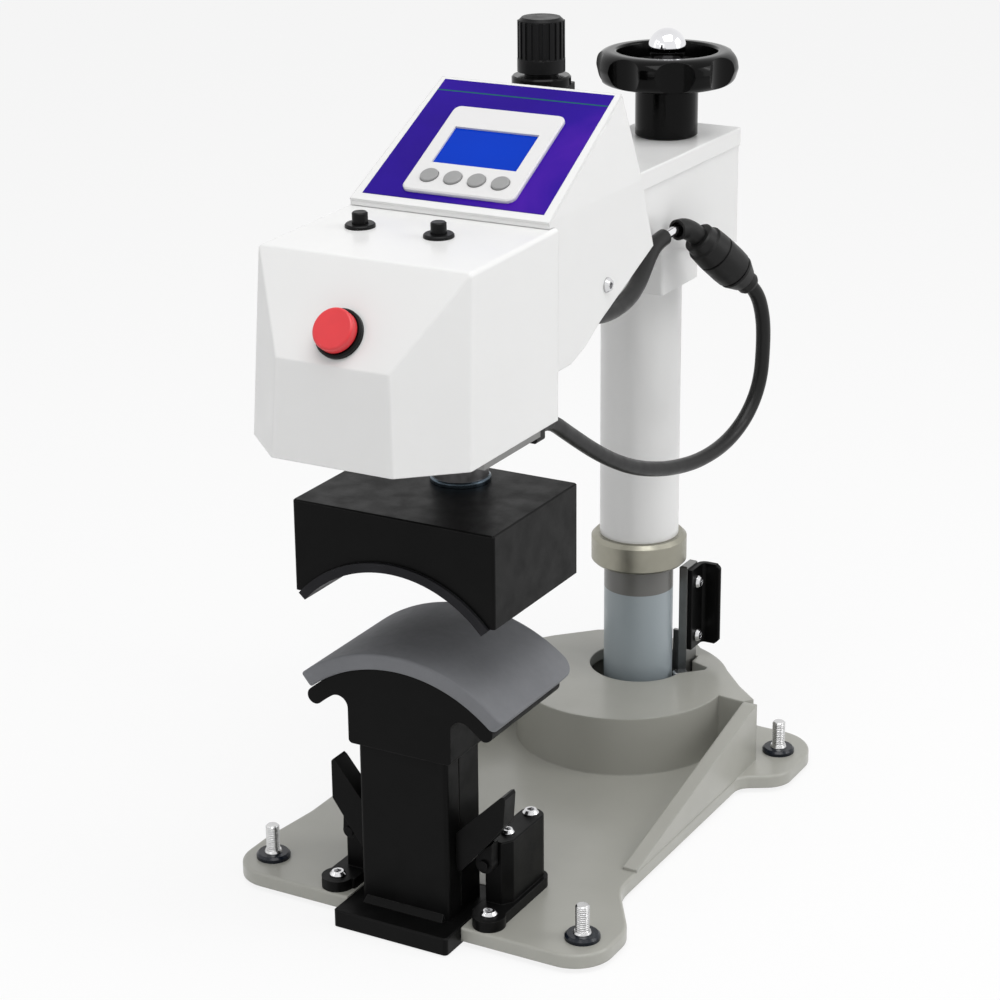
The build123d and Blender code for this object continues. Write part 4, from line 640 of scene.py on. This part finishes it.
def prism(name, outline, front_y, rear_y):
    """An outline in the XZ plane, drawn back from one depth to another."""
    bm = bmesh.new()
    front = [bm.verts.new(at_mm(x, front_y, z)) for x, z in outline]
    rear = [bm.verts.new(at_mm(x, rear_y, z)) for x, z in outline]
    bm.faces.new(front)
    bm.faces.new(rear[::-1])
    for k in range(len(outline)):
        bm.faces.new((front[k], front[k - 1], rear[k - 1], rear[k]))
    bmesh.ops.recalc_face_normals(bm, faces=bm.faces)
    mesh = bpy.data.meshes.new(name)
    bm.to_mesh(mesh)
    bm.free()
    return add_object(name, mesh)


def settle(ob, finish):
    """Applies an object's modifiers and leaves a plain mesh with one finish."""
    mesh = evaluated_mesh(ob)
    ob.modifiers.clear()
    ob.data = mesh
    mesh.materials.clear()
    mesh.materials.append(finish.mat)


def round_heel(side, radius, top):
    """The heel's outline: round the pin, then up behind the bar."""
    angles = [math.radians(degrees) for degrees in HEEL_TURN]
    points = [(PIN_X + radius * math.cos(a), PIN_Z + radius * math.sin(a)) for a in angles] + top
    return [(side * x, z) for x, z in points]


def lever(name, bar, heel, body, node):
    """A leaning clamp bar, with a thinner heel behind it that turns on the guide's pin."""
    ob = prism(name, bar, BAR_FRONT_Y, BAR_REAR_Y)
    root = prism(name + "_heel", heel, HEEL_FRONT_Y, HEEL_REAR_Y)
    join = ob.modifiers.new("join", "BOOLEAN")
    join.operation = "UNION"
    join.object = root
    join.solver = "EXACT"
    soft = ob.modifiers.new("soft", "BEVEL")
    soft.width = LEVER_EDGE_R
    soft.segments = 3
    soft.limit_method = "ANGLE"
    soft.angle_limit = SHARP_ANGLE
    settle(ob, black_steel)
    bpy.data.objects.remove(root)
    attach(ob, body)
    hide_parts(node)


right_bar = [(35.8, 51.5), (35.8, 77.5), (70.5, 112.0), (73.0, 113.0), (74.0, 111.0), (72.5, 91.0),
             (61.5, 76.0), (39.5, 50.3), (37.0, 50.0)]
left_bar = [(-35.8, 51.5), (-35.8, 81.3), (-59.0, 109.8), (-61.2, 111.2), (-62.6, 109.5), (-62.6, 81.5),
            (-46.2, 58.3), (-39.5, 50.3), (-37.0, 50.0)]
right_heel = round_heel(side=1, radius=6.5, top=[(60.0, 72.0), (50.0, 64.0)])
left_heel = round_heel(side=-1, radius=5.5, top=[(58.0, 73.0), (46.0, 59.0)])
lever("lever_right", right_bar, right_heel, "latch_right", "latch_lever_right")
lever("lever_left", left_bar, left_heel, "latch_left", "latch_lever_left")

# ---------------------------------------------------------------- levelling studs
STUD_SIZES = {
    "Core radius": 0.00435, "Crest": 0.00062, "Pitch": 0.0015, "Thread length": 0.0182, "Root depth": 0.0155,
    "End height": 0.0011, "End chamfer": 0.0005, "End sink": 0.0002,
    "Ring radius": 0.0064, "Ring height": 0.0018, "Ring chamfer": 0.0008,
}
RING_TOP_Z = 0.020
STUD_X = 0.1243
STUD_FRONT_Y = -0.335 + COLUMN_Y
STUD_REAR_Y = -0.006 + COLUMN_Y


class ShapeTree:
    """A geometry tree with named sizes for inputs, made node by node."""

    def __init__(self, name, sizes):
        self.tree = bpy.data.node_groups.new(name, "GeometryNodeTree")
        add_socket = self.tree.interface.new_socket
        add_socket("Places", in_out="INPUT", socket_type="NodeSocketGeometry")
        for label in sizes:
            add_socket(label, in_out="INPUT", socket_type="NodeSocketFloat")
        add_socket("Finish", in_out="INPUT", socket_type="NodeSocketMaterial")
        add_socket("Shape", in_out="OUTPUT", socket_type="NodeSocketGeometry")
        self.given = self.tree.nodes.new("NodeGroupInput").outputs

    def node(self, kind, sources=(), **values):
        """A new node, with sources, as (socket, output) pairs, linked in and the other values set."""
        node = self.tree.nodes.new(kind)
        for key, value in values.items():
            node.inputs[key.replace("_", " ")].default_value = value
        for socket, source in sources:
            self.tree.links.new(source, node.inputs[socket])
        return node

    def calc(self, operation, a, b):
        node = self.node("ShaderNodeMath")
        node.operation = operation
        for slot, value in zip(node.inputs, (a, b)):
            if isinstance(value, float):
                slot.default_value = value
            else:
                self.tree.links.new(value, slot)
        return node.outputs[0]

    def lifted(self, shape, height):
        lift = self.node("ShaderNodeCombineXYZ", [("Z", height)])
        moved = self.node("GeometryNodeTransform", [("Geometry", shape), ("Translation", lift.outputs[0])])
        return moved.outputs[0]

    def finish_on_places(self, shapes):
        """The joined shapes on every given place, made real and given their finish."""
        join = self.node("GeometryNodeJoinGeometry")
        for shape in shapes:
            self.tree.links.new(shape, join.inputs[0])
        placed = self.node("GeometryNodeInstanceOnPoints",
                           [("Points", self.given["Places"]), ("Instance", join.outputs[0])])
        real = self.node("GeometryNodeRealizeInstances", [(0, placed.outputs[0])])
        coated = self.node("GeometryNodeSetMaterial",
                           [("Geometry", real.outputs[0]), ("Material", self.given["Finish"])])
        self.node("NodeGroupOutput", [("Shape", coated.outputs[0])])


def threaded_studs():
    """A threaded stud with a chamfered end, and the chamfered ring that holds it down, on every place."""
    shape = ShapeTree("threaded_studs", STUD_SIZES)
    given, calc = shape.given, shape.calc
    core_r, length, depth = given["Core radius"], given["Thread length"], given["Root depth"]
    helix = shape.node("GeometryNodeCurveSpiral", [
        ("Rotations", calc("DIVIDE", length, given["Pitch"])), ("Start Radius", core_r),
        ("End Radius", core_r), ("Height", length)], Resolution=28)
    crest = shape.node("GeometryNodeCurvePrimitiveCircle", [("Radius", given["Crest"])], Resolution=6)
    thread = shape.node("GeometryNodeCurveToMesh", [
        ("Curve", helix.outputs[0]), ("Profile Curve", crest.outputs[0])], Fill_Caps=True)
    whole = calc("ADD", length, depth)
    core = shape.node("GeometryNodeMeshCylinder", [("Radius", core_r), ("Depth", whole)], Vertices=36)
    core_mid = calc("SUBTRACT", calc("MULTIPLY", whole, 0.5), depth)
    end = shape.node("GeometryNodeMeshCone", [
        ("Radius Top", calc("SUBTRACT", core_r, given["End chamfer"])),
        ("Radius Bottom", calc("ADD", core_r, given["End chamfer"])),
        ("Depth", given["End height"])], Vertices=36)
    end_z = calc("SUBTRACT", length, given["End sink"])
    ring = shape.node("GeometryNodeMeshCone", [
        ("Radius Top", calc("SUBTRACT", given["Ring radius"], given["Ring chamfer"])),
        ("Radius Bottom", given["Ring radius"]), ("Depth", given["Ring height"])], Vertices=48)
    ring_z = calc("MULTIPLY", given["Ring height"], -1.0)
    shape.finish_on_places([
        shape.lifted(ring.outputs["Mesh"], ring_z), shape.lifted(end.outputs["Mesh"], end_z),
        shape.lifted(core.outputs["Mesh"], core_mid), thread.outputs["Mesh"]])
    return shape.tree


def stud_set():
    """The four studs and rings on the base's lobes."""
    mesh = bpy.data.meshes.new("stud_set")
    places = [(x, y, RING_TOP_Z) for x in (-STUD_X, STUD_X) for y in (STUD_FRONT_Y, STUD_REAR_Y)]
    mesh.from_pydata(places, [], [])
    studs = add_object("stud_set", mesh)
    run = studs.modifiers.new("shape", "NODES")
    run.node_group = threaded_studs()
    for socket in run.node_group.interface.items_tree:
        if socket.name in STUD_SIZES:
            run[socket.identifier] = STUD_SIZES[socket.name]
        elif socket.name == "Finish":
            run[socket.identifier] = zinc_thread.mat
    settle(studs, zinc_thread)
    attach(studs, "base")
    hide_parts("levelling_studs")


stud_set()

# ---------------------------------------------------------------- strain relief
BOOT_R = 0.0082
BOOT_TAPER = [1.0, 0.97, 0.84, 0.72]
boot_points = [(62.0, -292.0, 352.8), (62.0, -283.0, 352.8), (62.0, -275.0, 352.4), (62.08, -266.0, 349.3)]


def cable_boot():
    """The tapered rubber sleeve where the cable leaves the gland."""
    line = round_tube("cable_boot_line", boot_points, BOOT_R, steps=12, taper=BOOT_TAPER)
    mesh = evaluated_mesh(line)
    mesh.name = "cable_boot"
    bpy.data.objects.remove(line)
    boot = add_object("cable_boot", mesh)
    mesh.materials.clear()
    mesh.materials.append(plug_black.mat)
    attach(boot, "head")


cable_boot()

# ---------------------------------------------------------------- floor
FLOOR_HALF = 6.0
PAPER_GLOW = 0.84  # how much of its own white the eye and mirrors see, over its soft shadow


def studio_floor():
    """White paper, which the eye, mirrors and glass see whiter than it lights, with its soft shadow kept."""
    half = FLOOR_HALF
    corners = [(-half, -half, 0), (half, -half, 0), (half, half, 0), (-half, half, 0)]
    mesh = bpy.data.meshes.new("studio_floor")
    mesh.from_pydata(corners, [], [(0, 1, 2, 3)])
    paper = Finish("studio_paper", edge=0)
    paper.feed(Base_Color=paper.two_tone(paper.noise(3, 3), (0.93, 0.93, 0.93), (0.94, 0.94, 0.94)))
    paper.set(Roughness=0.9, Specular_IOR_Level=0.1)
    glow = paper.node("ShaderNodeEmission", Strength=1.0)
    whiter = paper.node("ShaderNodeMixShader")
    paper.link(paper.math("MULTIPLY", looked_at(paper.tree), PAPER_GLOW), whiter.inputs[0])
    paper.link(paper.bsdf.outputs[0], whiter.inputs[1])
    paper.link(glow.outputs[0], whiter.inputs[2])
    paper.link(whiter.outputs[0], paper.out.inputs[0])
    mesh.materials.append(paper.mat)
    add_object("studio_floor", mesh)


studio_floor()
